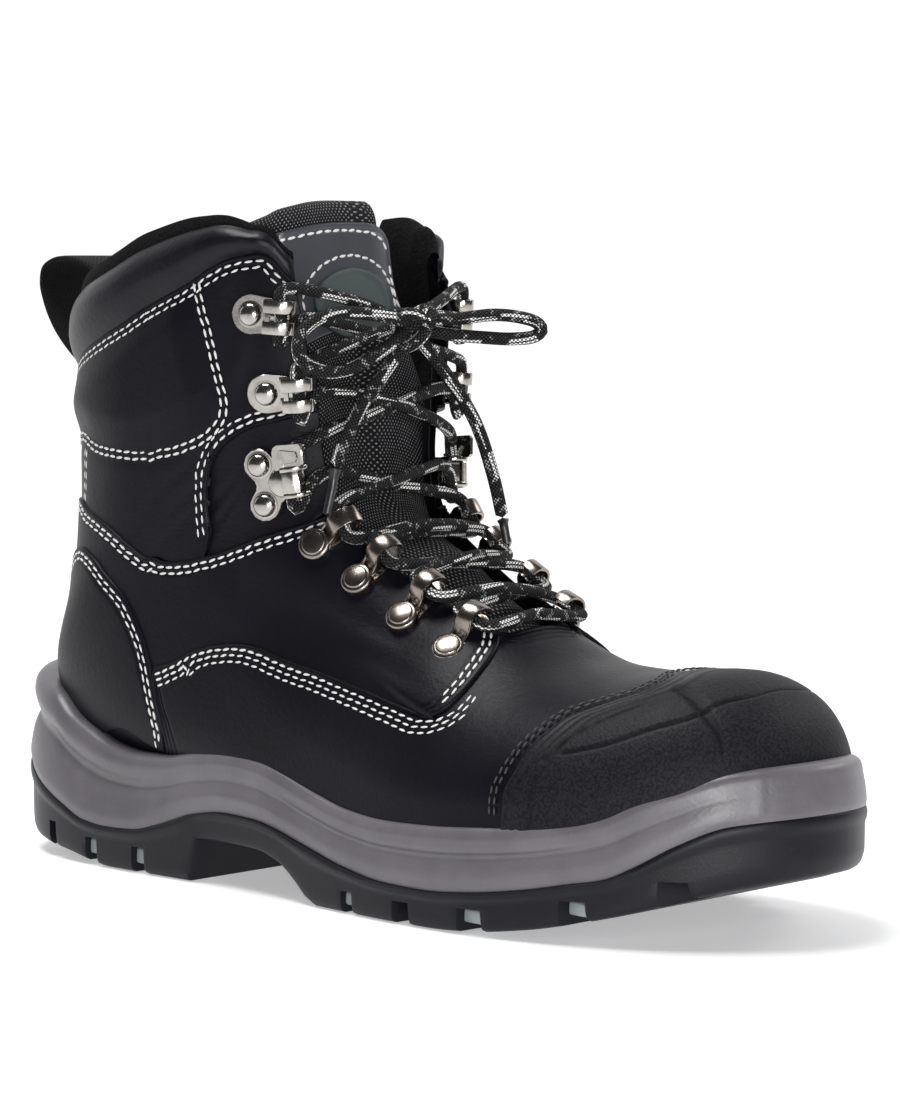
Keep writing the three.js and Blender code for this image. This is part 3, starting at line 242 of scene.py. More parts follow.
def away(degrees):
    """Degrees from the front ridge, whichever way round."""
    return np.abs(((np.asarray(degrees, float) + 180) % 360) - 180)


def station_by_angle(rows):
    """A seam as a function: the station at each angle around the last."""
    rows = sorted((d, t) for t, d in rows)
    return rounded([d for d, _ in rows], [t for _, t in rows])


def last_row(t):
    t = np.clip(np.asarray(t, float), 0, len(LAST) - 1)
    i = np.minimum(t.astype(int), len(LAST) - 2)
    s = (t - i)[..., None]
    p, a, b, n = (LAST[np.clip(i + k, 0, len(LAST) - 1)] for k in (-1, 0, 1, 2))
    return 0.5 * (2 * a + (b - p) * s + (2 * p - 5 * a + 4 * b - n) * s * s + (3 * (a - b) + n - p) * s ** 3)


def last_point(t, degrees):
    row = last_row(t)
    angle = np.radians(degrees)
    c, s = np.cos(angle), np.sin(angle)
    power = 2 / np.where(c >= 0, row[..., 7], row[..., 8])
    along = np.sign(c) * np.abs(c) ** power
    along = along + row[..., 6] * (1 - along * along)
    half = np.where(s >= 0, row[..., 5], row[..., 4]) * BALL_WIDTH
    mix = (1 + along) / 2
    x = (row[..., 2] + (row[..., 0] - row[..., 2]) * mix) * SOLE_LENGTH
    z = (row[..., 3] + (row[..., 1] - row[..., 3]) * mix) * BOOT_HEIGHT
    y = row[..., 9] * BALL_WIDTH + np.sign(s) * half * np.abs(s) ** power
    return np.stack([x, y, z], -1)


def unit(v):
    return v / np.maximum(np.linalg.norm(v, axis=-1, keepdims=True), 1e-12)


def last_normal(t, degrees):
    t = np.asarray(t, float)
    low, high = np.maximum(0, t - 0.25), np.minimum(len(LAST) - 1, t + 0.25)
    along = last_point(high, degrees) - last_point(low, degrees)
    around = last_point(t, np.asarray(degrees) + 5) - last_point(t, np.asarray(degrees) - 5)
    return unit(np.cross(around, along))


def skin(t, degrees, height):
    t, degrees, height = np.broadcast_arrays(
        np.asarray(t, float), np.asarray(degrees, float), np.asarray(height, float))
    return last_point(t, degrees) + last_normal(t, degrees) * height[..., None]


def size_of(name):
    """A size from the panel, in millimetres."""
    return round(getattr(bpy.context.scene.boot_sizes, name) / MM, 4)


def in_frame(points):
    return (np.asarray(points, float) + TO_FRAME) * MM


# Shader nodes
class Wire:
    """A shader socket that takes part in Python arithmetic."""

    def __init__(self, paint, socket):
        self.paint, self.socket = paint, socket

    def _math(self, operation, *values):
        return self.paint.fn(operation, *values)

    def __add__(self, other):
        return self._math("ADD", self, other)

    def __sub__(self, other):
        return self._math("SUBTRACT", self, other)

    def __rsub__(self, other):
        return self._math("SUBTRACT", other, self)

    def __mul__(self, other):
        return self._math("MULTIPLY", self, other)

    def __truediv__(self, other):
        return self._math("DIVIDE", self, other)

    def __pow__(self, other):
        return self._math("POWER", self, other)

    __radd__ = __add__
    __rmul__ = __mul__


SOCKETS = {"specular_ior_level": "Specular IOR Level"}


class Paint:
    """A material under construction."""

    def __init__(self, name, **sockets):
        self.material = bpy.data.materials.new(name)
        self.material.use_nodes = True
        self.tree = self.material.node_tree
        self.shader = self.tree.nodes["Principled BSDF"]
        for key, value in sockets.items():
            self.shader.inputs[SOCKETS.get(key, key.replace("_", " ").title())].default_value = value

    def make(self, kind, settings=None, *values, out=0, **named):
        node = self.tree.nodes.new(kind)
        for key, value in (settings or {}).items():
            setattr(node, key, value)
        pairs = list(enumerate(values)) + [(k.replace("_", " "), v) for k, v in named.items()]
        for key, value in pairs:
            if isinstance(value, Wire):
                self.tree.links.new(value.socket, node.inputs[key])
            elif value is not None:
                node.inputs[key].default_value = value
        return Wire(self, node.outputs[out])

    def fn(self, operation, *values):
        return self.make("ShaderNodeMath", {"operation": operation}, *values)

    def place(self, x=1.0, y=1.0, z=1.0, source="Object"):
        where = self.make("ShaderNodeTexCoord", out=source)
        return self.make("ShaderNodeMapping", None, Vector=where, Scale=(x, y, z))

    def split(self, vector):
        node = self.tree.nodes.new("ShaderNodeSeparateXYZ")
        self.tree.links.new(vector.socket, node.inputs[0])
        return [Wire(self, s) for s in node.outputs[:3]]

    def noise(self, where, scale, detail=3.0, roughness=0.55):
        return self.make("ShaderNodeTexNoise", None, Vector=where, Scale=scale, Detail=detail,
                         Roughness=roughness)

    def cells(self, where, scale, feature="F1"):
        return self.make("ShaderNodeTexVoronoi", {"feature": feature}, Vector=where, Scale=scale)

    def stops(self, value, low, high):
        return self.make("ShaderNodeMapRange", {"interpolation_type": "SMOOTHSTEP"}, value, low, high, 0.0, 1.0)

    def mix(self, share, a, b):
        node = self.tree.nodes.new("ShaderNodeMix")
        node.data_type = "RGBA"
        for index, value in ((0, share), (6, a), (7, b)):
            if isinstance(value, Wire):
                self.tree.links.new(value.socket, node.inputs[index])
            else:
                node.inputs[index].default_value = value if index == 0 else (*value[:3], 1.0)
        return Wire(self, node.outputs[2])

    def set(self, name, value):
        self.tree.links.new(value.socket, self.shader.inputs[name])

    def relief(self, height, distance, strength=1.0):
        bumped = self.make("ShaderNodeBump", None, Strength=strength, Distance=distance, Height=height)
        self.set("Normal", bumped)

    def attribute(self, name):
        return self.make("ShaderNodeAttribute", {"attribute_name": name}, out="Fac")


def rgb(settings, name):
    return tuple(getattr(settings, name))


def leather_paint(s):
    p = Paint("smooth_black_leather", roughness=0.4, specular_ior_level=0.11)
    where = p.place()
    pores = p.cells(where, 1050.0)
    grain = p.cells(where, 560.0, "SMOOTH_F1")
    folds = p.noise(where, 120.0, 4.0, 0.6)
    cloud = p.noise(where, 22.0, 3.0, 0.5)
    wear = p.attribute("wear")
    base = p.mix(p.stops(cloud, 0.35, 0.7), rgb(s, "leather"), tuple(c * 1.5 for c in rgb(s, "leather")))
    p.set("Base Color", p.mix(wear * 0.35, base, (0.012, 0.012, 0.015)))
    p.set("Roughness", 0.33 + cloud * 0.12 + pores * 0.06 + wear * 0.05)
    stretch = p.place(260.0, 260.0, 900.0)
    lines = p.noise(stretch, 1.0, 3.0, 0.5)
    height = pores * 0.25 + grain * 0.35 + folds * 0.5 + lines * wear * 1.2
    p.relief(height, 0.00022, 0.55)
    return p.material


def collar_leather_paint(s):
    p = Paint("soft_collar_leather", roughness=0.4, specular_ior_level=0.2)
    where = p.place()
    grain = p.cells(where, 700.0, "SMOOTH_F1")
    folds = p.noise(where, 70.0, 4.0, 0.6)
    base = p.mix(p.stops(folds, 0.35, 0.7), rgb(s, "leather"), tuple(c * 1.7 for c in rgb(s, "leather")))
    p.set("Base Color", base)
    p.set("Roughness", 0.3 + folds * 0.16)
    p.relief(grain * 0.35 + folds * 0.9, 0.0003, 0.6)
    return p.material


def bumper_paint(s):
    p = Paint("pebbled_bumper", roughness=0.5, specular_ior_level=0.12)
    where = p.place()
    pebbles = p.cells(where, 1500.0, "SMOOTH_F1")
    fine = p.noise(where, 2600.0, 2.0)
    rough = p.attribute("pebbled")
    shade = p.attribute("shade")
    base = p.mix(p.stops(pebbles, 0.1, 0.7), (0.015, 0.015, 0.018), rgb(s, "bumper"))
    # Painted shade: the sunk groove, flange line, rib dip and border step are darkened.
    p.set("Base Color", p.mix(shade, base, (0.0012, 0.0012, 0.0015)))
    p.set("Roughness", 0.4 + rough * 0.1 + fine * 0.1 + shade * 0.3)
    p.relief((pebbles * -1.0 + fine * 0.4) * rough, 0.00022, 0.55)
    return p.material


def midsole_paint(s):
    p = Paint("moulded_grey_foam", roughness=0.5)
    where = p.place()
    cloud = p.noise(where, 30.0, 5.0, 0.6)
    fine = p.noise(where, 900.0, 3.0, 0.6)
    specks = p.cells(where, 420.0)
    light = tuple(c * 1.16 for c in rgb(s, "midsole"))
    dark = tuple(c * 0.86 for c in rgb(s, "midsole"))
    scuffs = 1 - p.stops(specks, 0.02, 0.09)
    base = p.mix(p.stops(cloud, 0.35, 0.68), dark, light)
    p.set("Base Color", p.mix(scuffs * 0.25, base, (0.35, 0.33, 0.33)))
    p.set("Roughness", 0.28 + cloud * 0.14 + fine * 0.06)
    p.relief(fine + cloud * 0.6, 0.00016, 0.5)
    return p.material


def outsole_paint(s):
    p = Paint("black_moulded_rubber", roughness=0.45, specular_ior_level=0.24)
    where = p.place()
    cloud = p.noise(where, 45.0, 4.0, 0.6)
    fine = p.noise(where, 1300.0, 3.0, 0.6)
    dust = p.stops(p.noise(where, 260.0, 4.0, 0.7), 0.6, 0.78)
    base = p.mix(p.stops(cloud, 0.3, 0.7), rgb(s, "outsole"), tuple(c * 1.6 for c in rgb(s, "outsole")))
    p.set("Base Color", p.mix(dust * 0.14, base, (0.06, 0.058, 0.06)))
    p.set("Roughness", 0.36 + cloud * 0.16 + dust * 0.1)
    p.relief(fine + cloud * 0.8, 0.00014, 0.5)
    return p.material


def thread_paint(name, colour):
    p = Paint(name, roughness=0.6)
    where = p.place()
    twist = p.noise(where, 1600.0, 2.0)
    p.set("Base Color", p.mix(twist, tuple(c * 0.6 for c in colour), colour))
    p.relief(twist, 0.0001, 0.6)
    return p.material


def weave_paint(name, colour, fleck, cell, strength=1.0):
    """Basket weave over UV millimetres, with a painted highlight on one set of thread crowns."""
    p = Paint(name, roughness=0.72, specular_ior_level=0.15)
    u, v, _ = p.split(p.make("ShaderNodeTexCoord", out="UV"))
    u, v = u * (1 / cell), v * (1 / cell)
    over = p.fn("FLOORED_MODULO", p.fn("FLOOR", u) + p.fn("FLOOR", v), 2.0)
    across = p.fn("ABSOLUTE", p.fn("SINE", u * math.pi))
    along = p.fn("ABSOLUTE", p.fn("SINE", v * math.pi))
    crown = over * (across ** 0.5) * (0.4 + along * 0.6) + (1 - over) * (along ** 0.5) * (0.4 + across * 0.6)
    sheen = p.noise(p.place(), 260.0, 2.0)
    # Painted highlight: the crowns of one set of threads take the second colour, in patches after the sheen noise.
    lit = p.stops(crown, 0.6, 1.0) * over * (0.25 + sheen)
    p.set("Base Color", p.mix(lit, colour, fleck))
    p.set("Roughness", 0.8 - lit * 0.28)
    p.relief(crown, 0.0005 * strength, 0.9)
    return p.material


def lining_paint():
    p = Paint("fuzzy_black_lining", roughness=0.95, specular_ior_level=0.1)
    where = p.place()
    fuzz = p.noise(where, 1500.0, 4.0, 0.7)
    mesh = p.cells(where, 900.0)
    p.set("Base Color", p.mix(p.stops(fuzz, 0.35, 0.75), (0.001, 0.001, 0.0012), (0.01, 0.0095, 0.011)))
    p.relief(fuzz + mesh * 0.7, 0.0006, 0.8)
    return p.material


def lace_paint(s):
    """Black braid with paired pale tracer flecks and painted glints on the braid's crowns; UV is (turn around,
    millimetres along).
    """
    p = Paint("flecked_lace", roughness=0.6, specular_ior_level=0.12)
    u, v, _ = p.split(p.make("ShaderNodeTexCoord", out="UV"))
    left = p.fn("SINE", (u * 10.0 + v * 0.85) * math.pi)
    right = p.fn("SINE", (u * 10.0 - v * 0.85) * math.pi)
    braid = p.fn("ABSOLUTE", left * right)
    picks = p.stops(braid, 0.2, 0.75)
    half = p.fn("FRACT", u * 2.0 + v * 0.012)
    near = p.stops(half, 0.14, 0.18) * (1 - p.stops(half, 0.28, 0.32))
    far = p.stops(half, 0.36, 0.4) * (1 - p.stops(half, 0.5, 0.54))
    stretch = p.fn("FRACT", v * 0.062 + p.fn("FLOOR", u * 2.0) * 0.43)
    dash = p.stops(stretch, 0.03, 0.06) * (1 - p.stops(stretch, 0.52, 0.56))
    # Painted glints: pale spots on the braid's crowns in random patches; the tracer streaks are also brighter on the
    # crowns, partly painted highlight.
    glint_patches = p.stops(p.noise(p.place(), 420.0, 2.0), 0.56, 0.66)
    streaks = p.fn("MAXIMUM", near, far) * dash * (0.12 + picks * 1.1)
    pale = p.fn("MINIMUM", streaks * 1.1 + picks * glint_patches * 0.36 + picks * 0.03, 1.0)
    p.set("Base Color", p.mix(pale, rgb(s, "lace"), rgb(s, "fleck")))
    p.set("Roughness", 0.75 - pale * 0.2)
    p.relief(braid ** 0.6, 0.00035, 0.8)
    return p.material


def metal_paint(name, colour, roughness, wear):
    p = Paint(name, roughness=roughness, metallic=1.0)
    where = p.place()
    cloud = p.noise(where, 180.0, 4.0, 0.6)
    p.set("Base Color", p.mix(p.stops(cloud, 0.4, 0.7), colour, tuple(c * wear for c in colour)))
    p.set("Roughness", roughness * 0.7 + cloud * roughness * 0.7)
    p.relief(p.noise(where, 900.0, 2.0), 0.00003, 0.5)
    return p.material


def plain_paint(name, colour, roughness, scale=900.0, depth=0.00008):
    p = Paint(name, roughness=roughness)
    where = p.place()
    cloud = p.noise(where, scale * 0.05, 3.0)
    p.set("Base Color", p.mix(cloud, tuple(c * 0.8 for c in colour), tuple(c * 1.2 for c in colour)))
    p.set("Roughness", roughness - 0.06 + cloud * 0.12)
    p.relief(p.noise(where, scale, 2.0), depth, 0.5)
    return p.material


def badge_paint(s):
    p = Paint("bare_badge", roughness=0.55)
    where = p.place()
    cloud = p.noise(where, 90.0, 4.0)
    p.set("Base Color",
          p.mix(cloud, tuple(c * 0.75 for c in rgb(s, "badge")), tuple(c * 1.25 for c in rgb(s, "badge"))))
    p.relief(p.noise(where, 1400.0, 3.0), 0.0001, 0.6)
    return p.material


def floor_paint():
    p = Paint("white_sweep", roughness=0.6, emission_strength=1.0)
    x, y, z = p.split(p.place())
    away = (x * x + y * y + z * z) ** 0.5
    share = p.stops(away, 0.15, 1.3)
    p.set("Base Color", p.mix(share, (0.8, 0.8, 0.805), (0.1, 0.1, 0.1)))
    p.set("Emission Color", p.mix(share, (0.38, 0.38, 0.385), (0.97, 0.97, 0.975)))
    return p.material


PAINTS = {}


def mix_paints(s):
    PAINTS.update(
        leather=leather_paint(s),
        collar_leather=collar_leather_paint(s),
        bumper=bumper_paint(s),
        midsole=midsole_paint(s),
        outsole=outsole_paint(s),
        pale_thread=thread_paint("pale_thread", rgb(s, "thread")),
        dark_thread=thread_paint("dark_thread", (0.03, 0.03, 0.034)),
        # Each weave's second colour is its painted highlight on the thread crowns.
        nylon=weave_paint("ballistic_nylon", (0.006, 0.006, 0.007), (0.3, 0.295, 0.31), 0.85),
        tape=weave_paint("woven_tape", (0.004, 0.004, 0.005), (0.016, 0.016, 0.018), 0.8, 0.5),
        lining=lining_paint(),
        lace=lace_paint(s),
        nickel=metal_paint("bright_nickel", (0.46, 0.435, 0.405), 0.18, 0.75),
        gunmetal=metal_paint("dark_nickel", (0.27, 0.235, 0.21), 0.24, 0.8),
        tip=plain_paint("lace_tip_film", (0.012, 0.012, 0.013), 0.3),
        insole=plain_paint("insole_felt", (0.03, 0.03, 0.034), 0.9, 700.0, 0.0004),
        # Painted highlight: the patch's base colour is set well above the black leather's to stand in for light from
        # above.
        patch=plain_paint("tongue_patch_leather", (0.046, 0.048, 0.056), 0.3, 700.0, 0.00012),
        insert=plain_paint("pale_tread_insert", (0.3, 0.33, 0.34), 0.35),
        badge=badge_paint(s),
    )


# Mesh helpers
def shade(bm, crease):
    """Smooth shading, broken where two faces meet at more than the crease angle."""
    limit = math.radians(crease)
    for face in bm.faces:
        face.smooth = True
    for edge in bm.edges:
        edge.smooth = not (len(edge.link_faces) == 2 and edge.calc_face_angle(0.0) > limit)


def finish(name, bm, paint, replaces=(), crease=38.0, body=BODY, solidify=0.0):
    shade(bm, crease)
    mesh = bpy.data.meshes.new(name)
    bm.to_mesh(mesh)
    bm.free()
    mesh.materials.append(PAINTS[paint])
    obj = bpy.data.objects.new(name, mesh)
    bpy.context.scene.collection.objects.link(obj)
    if solidify:
        wall = obj.modifiers.new("Wall", "SOLIDIFY")
        wall.thickness = solidify * MM
        wall.offset = -1.0
    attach(obj, body)
    if replaces:
        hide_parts(*replaces)
    return obj


def mapped_grid(cols, rows, place, facing=None, wrap=False):
    """A grid whose corners are placed by place(u, v): points in mm, then optional uv and named values."""
    bm = bmesh.new()
    bmesh.ops.create_grid(bm, x_segments=cols, y_segments=rows, size=1.0)
    flat = np.array([v.co for v in bm.verts])
    u, v = (flat[:, 0] + 1) / 2, (flat[:, 1] + 1) / 2
    made = place(u, v)
    points, extras = (made if isinstance(made, tuple) else (made, {}))
    points = in_frame(points)
    for vert, point in zip(bm.verts, points):
        vert.co = point
    uv = extras.pop("uv", None)
    if uv is not None:
        layer = bm.loops.layers.uv.new("UVMap")
        for face in bm.faces:
            for loop in face.loops:
                loop[layer].uv = uv[loop.vert.index]
    for key, values in extras.items():
        layer = bm.verts.layers.float.new(key)
        for vert, value in zip(bm.verts, values):
            vert[layer] = float(value)
    bm.normal_update()
    if facing is not None:
        total = 0.0
        for face in bm.faces:
            total += face.normal.dot(facing(face.calc_center_median()))
        if total < 0:
            bmesh.ops.reverse_faces(bm, faces=bm.faces)
    if wrap:
        bmesh.ops.remove_doubles(bm, verts=bm.verts, dist=1e-7)
    return bm


def from_last(place):
    """Outward from the last's own middle line."""
    x = place.x / MM - TO_FRAME[0]
    z = place.z / MM
    middle = np.array([min(max(x, 88.0), 280.0), 0.0, 48.0 if x > 130 else min(max(z, 60.0), 190.0)])
    return (place - Vector(in_frame(middle))).normalized()


def edge_rows(distances, length, rows, k):
    """Millimetres from an edge for row number k: close rows near the edge, then even ones."""
    near = np.asarray(distances, float)
    scale = np.minimum(1.0, length / (1.25 * near[-1]))
    index = np.clip(k, 0, len(near) - 1).astype(int)
    close = near[index] * scale
    rest = near[-1] * scale + (length - near[-1] * scale) * (k - len(near) + 1) / (rows - len(near) + 1)
    return np.where(k < len(near), close, rest)


ZIP_FOOT, ZIP_TOP = (88.45, 79.3), (89.39, 182.3)


def zip_x(z):
    """The zip's middle line, seen from the side."""
    return ZIP_FOOT[0] + (ZIP_TOP[0] - ZIP_FOOT[0]) * (z - ZIP_FOOT[1]) / (ZIP_TOP[1] - ZIP_FOOT[1])


def beside_zip(t, degrees, height):
    """The skin at a height, pressed down to the tape along the zip's lane on the inner side."""
    points = skin(t, degrees, height)
    x, z = points[..., 0], points[..., 2]
    inner = np.sin(np.radians(degrees)) > 0
    lane = smooth(8.9 - np.abs(x - zip_x(z)), 0, 0.8) * smooth(z, 75.5, 77.0) * inner
    return points - last_normal(t, degrees) * (lane * (height + 1.2).clip(0))[:, None]


def folds(t, degrees):
    """Soft troughs and ridges set where the leather flexes: height and wear."""
    around = away(degrees)
    side = np.where(np.sin(np.radians(degrees)) <= 0, 1.0, 0.7)
    height = np.zeros(np.broadcast(t, around).shape)
    wear = np.zeros_like(height)
    # station, angle, length in stations, width in degrees, slant, depth
    for st, an, lt, wd, slant, depth in (
        (11.6, 52, 1.0, 3.4, 6.0, 0.35), (12.2, 61, 1.1, 4.0, 5.0, 0.35), (10.7, 47, 0.8, 3.4, 6.0, 0.3),
        (12.9, 69, 0.9, 4.2, 4.0, 0.3), (10.0, 53, 0.6, 3.4, 5.0, 0.25),
        (15.9, 84, 0.16, 9.0, 0.0, 0.35), (15.3, 80, 0.14, 8.0, 0.0, 0.35), (14.9, 84, 0.12, 8.0, 0.0, 0.3),
        (18.45, 66, 0.25, 5.0, 0.0, 0.3), (16.9, 60, 0.5, 4.0, -4.0, 0.5), (17.1, 92, 0.8, 7.0, 0.0, 0.5),
    ):
        along = (t - st) / lt
        across = (around - an - slant * (t - st)) / wd
        body = np.exp(-along ** 2)
        height = height - side * depth * body * np.exp(-across ** 2)
        height = height + side * 0.5 * depth * body * np.exp(-((across - 1.9) / 1.1) ** 2)
        wear = wear + 0.6 * body * np.exp(-(across / 1.8) ** 2)
    wear = wear + 0.7 * bump(around, 80, 9) * bump(t, 15.2, 1.2) + 0.5 * bump(around, 64, 6) * bump(t, 18.4,
                                                                                                    0.8)
    return height, np.clip(wear, 0, 1)


def arc_mm(t0, d0, t1, d1, parts=8):
    """Length on the last between two stations and angles."""
    s = np.linspace(0, 1, parts + 1)
    pts = last_point(t0[..., None] + (t1 - t0)[..., None] * s, d0[..., None] + (d1 - d0)[..., None] * s)
    return np.linalg.norm(np.diff(pts, axis=-2), axis=-1).sum(-1)


def open_edge(distance, thickness=LEATHER_THICKNESS, radius=0.75):
    """How far a cut edge drops at a distance from it."""
    s = np.clip(distance / radius, 0, 1)
    return thickness * (1 - np.sqrt(np.clip(1 - (1 - s) ** 2, 0, 1)))


STITCH_ROWS = (0.0, 0.0, 0.12, 0.3, 0.55, 0.9, 1.3, 1.6, 1.9, 2.2, 2.6, 3.1, 3.5, 3.8, 4.1, 4.5, 5.2, 6.1, 7.2)


def troughs(distance, rows=(1.9, 3.8), depth=0.28, width=0.5):
    total = np.zeros_like(distance)
    for row in rows:
        total = total + depth * bump(distance, row, width)
    return total


def rows_between(first, last, rows, k, parts=8):
    """Station, degrees, millimetres from the first border and whole length; close rows at both borders."""
    (t0, d0), (t1, d1) = first, last
    length = arc_mm(t0, d0, t1, d1, parts)
    low = edge_rows(STITCH_ROWS, length, rows, k)
    high = length - edge_rows(STITCH_ROWS, length, rows, rows - k)
    distance = np.where(k < rows / 2, low, high)
    share = distance / np.maximum(length, 1e-6)
    return t0 + (t1 - t0) * share, d0 + (d1 - d0) * share, distance, length


def panel(name, cols, rows, edge, far, level, near=STITCH_ROWS, sewn=(1.9, 3.8), replaces=()):
    """A leather panel between its cut edge and a far border; both take u and give station and degrees."""
    def place(u, v):
        k = np.rint(v * rows)
        t0, d0 = edge(u)
        t1, d1 = far(u)
        length = arc_mm(t0, d0, t1, d1)
        distance = edge_rows(near, length, rows, k)
        share = distance / np.maximum(length, 1e-6)
        t, d = t0 + (t1 - t0) * share, d0 + (d1 - d0) * share
        fold, wear = folds(t, d)
        height = level(t, d) + fold - troughs(distance, sewn) - open_edge(distance)
        height = height - np.where(k == 0, LEATHER_THICKNESS, 0)
        return beside_zip(t, d, height), {"wear": wear}
    bm = mapped_grid(cols, rows, place, facing=from_last)
    finish(name, bm, "leather", replaces, solidify=0.8)


# Upper
cap_rear = station_by_angle(CAP_EDGE)
shaft_edge = station_by_angle(SHAFT_SEAM)
collar_line = station_by_angle(COLLAR_SEAM)
wing_line = station_by_angle(
    WING_EDGE + FACING_EDGE[:-1] + COUNTER_EDGE[-4:] + [(9.08, 0), (12.42, 140)])
facing_line = station_by_angle(FACING_EDGE)
throat_rows = between([t for t, _ in THROAT], [d for _, d in THROAT])


def pad_puff(t, around):
    """The padded panel behind the hooks: full in its middle, drawn in at its seam."""
    shape = np.broadcast(t, around).shape
    t, around = np.broadcast_to(t, shape).ravel(), np.broadcast_to(around, shape).ravel()
    seam_t, seam_d = polyline(PAD_SEAM)
    s = np.linspace(0, 1, 200)
    line_t, line_d = seam_t(s), seam_d(s)
    spots = last_point(line_t, -line_d)
    here = last_point(t, -around)
    gap = np.full(len(t), 1e9)
    for spot in spots:
        gap = np.minimum(gap, np.linalg.norm(here - spot, axis=1))
    low = np.interp(around, line_d[np.argmin(line_t):], line_t[np.argmin(line_t):], right=18.1)
    left = np.interp(t, line_t[np.argmin(line_t)::-1], line_d[np.argmin(line_t)::-1])
    inside = (t > low) & (around > left)
    top = smooth(collar_line(around) - t, 0.0, 0.7)
    puff = np.where(inside, size_of("pad_fullness") * smooth(gap, 0.3, 13.0) * top, 0.0) - 0.2 * np.exp(-((gap - 1.6) / 2.0) ** 2) * (t > 16)
    return puff.reshape(shape)


def shaft_level(t, d):
    around = away(d)
    inner = np.sin(np.radians(d)) > 0
    flare = 2.6 * smooth(50 - around, 0, 13) * inner
    return SHAFT_LEVEL + pad_puff(t, around) * np.where(inner, 0.45, 1.0) + flare


def quarter_level(t, d):
    around = away(d)
    ahead = t - facing_line(np.clip(around, 17.5, 56.5))
    lift = (1 - smooth(ahead, 0.55, 1.5)) * (1 - smooth(around, 55, 59))
    return QUARTER_LEVEL + (FACING_LEVEL - QUARTER_LEVEL) * lift


def vamp_level(t, d):
    return VAMP_LEVEL - 0.25 * bump(np.abs(d), 0, 30) * bump(t, 8.0, 0.5)


def both_sides(t_of, d_of, from_throat=True):
    """A border drawn on one side, run around the back: from throat to throat, or from the back out."""
    def border(u):
        half = np.where(u <= 0.5, 2 * u, 2 - 2 * u)
        half = half if from_throat else 1 - half
        degrees = d_of(half)
        return t_of(half), np.where(u <= 0.5, -degrees, degrees - 360)
    return border


def polyline(points):
    """A border through stations and angles by length along it, for one side of the boot."""
    pts = np.array(points, float)
    spots = last_point(pts[:, 0], -pts[:, 1])
    run = run_of(spots)
    return rounded(run / run[-1], pts[:, 0]), rounded(run / run[-1], pts[:, 1])


def build_shaft():
    rear = [(shaft_edge(a), a) for a in (78.5, 82, 86, 90, 95, 101, 108, 116, 125, 135, 150, 165, 180)]
    low_t, low_d = polyline(WINDOW_EDGE + rear)
    top_angle = between([0.0, 0.25, 0.42, 1.0], [38.6, 66.0, 79.0, 180.0])
    lower = both_sides(low_t, low_d)
    upper = both_sides(lambda half: collar_line(top_angle(half)) + 0.02, top_angle)
    rows = 88

    def place(u, v):
        k = np.rint(v * rows)
        t, d, from_low, length = rows_between(lower(u), upper(u), rows, k)
        fold, wear = folds(t, d)
        window = away(d) < 77.5
        from_top = length - from_low
        sewn_low = np.where(window, troughs(from_low), 0)
        drop_low = np.where(window, open_edge(from_low), 0)
        height = shaft_level(t, d) + fold - sewn_low - drop_low - troughs(from_top) - open_edge(from_top, 1.2)
        height = height - np.where((k == 0) & window, LEATHER_THICKNESS, 0) - np.where(k == rows, 1.2, 0)
        return beside_zip(t, d, height), {"wear": wear}
    bm = mapped_grid(420, rows, place, facing=from_last)
    finish("shaft_leather", bm, "leather", ("upper",), solidify=0.8)


def build_window_floor():
    for side in (OUTER, INNER):
        def place(u, v, side=side):
            around = 30.5 + 51.0 * u
            t = 12.9 + 3.1 * v
            lean = t * 17 + around * 0.31 + 1.6 * np.sin(t * 2.3 + around * 0.17)
            wrinkle = 0.22 * np.sin(lean) * bump(around, 74, 8) * np.clip(np.sin(t * 3.1 + 0.4), 0.1, 1)
            height = WINDOW_LEVEL + 0.6 * bump(around, 60, 9) * bump(t, 14.4, 0.8) + wrinkle
            return skin(t, side * around, height), {"wear": np.clip(0.6 + 0.5 * bump(around, 72, 9), 0, 1)}
        bm = mapped_grid(60, 50, place, facing=from_last)
        finish(f"window_floor_{SIDE_NAMES[side]}", bm, "leather", solidify=0.6)


def build_quarter():
    def far_station(around):
        wing = wing_line(np.clip(around, 56.5, 130)) - 0.55
        front = facing_line(np.clip(around, 17.5, 56.5))
        blend = smooth(around, 56.5, 60.0)
        low = front * (1 - blend) + wing * blend
        rear = np.interp(around, [120, 140, 160, 180], [12.0, 12.8, 13.8, 14.3])
        return np.where(around > 120, rear, low)

    def top(u):
        turn = 34.0 + 292.0 * u
        return shaft_edge(np.clip(np.minimum(turn, 360 - turn), 36, 180)), -turn

    def bottom(u):
        turn_top = 34.0 + 292.0 * u
        around_top = np.minimum(turn_top, 360 - turn_top)
        around = np.where(around_top < 80, 18.5 + (around_top - 34.0) * (80 - 18.5) / (80 - 34.0), around_top)
        turn = np.where(u <= 0.5, around, 360 - around)
        return far_station(around), -turn

    rows = 96

    def place(u, v):
        k = np.rint(v * rows)
        t, d, distance, length = rows_between(top(u), bottom(u), rows, k, 14)
        front = smooth(57.5 - away(d), 0, 3)
        fold, wear = folds(t, d)
        from_low = length - distance
        height = quarter_level(t, d) + fold - troughs(distance) - open_edge(distance)
        height = height - front * (troughs(from_low, (2.6, 4.5)) + open_edge(from_low))
        height = height - np.where(k == 0, LEATHER_THICKNESS, 0) - np.where(k == rows, LEATHER_THICKNESS, 0)
        return beside_zip(t, d, height), {"wear": wear}
    bm = mapped_grid(360, rows, place, facing=from_last)
    finish("quarter_leather", bm, "leather", (), solidify=0.8)


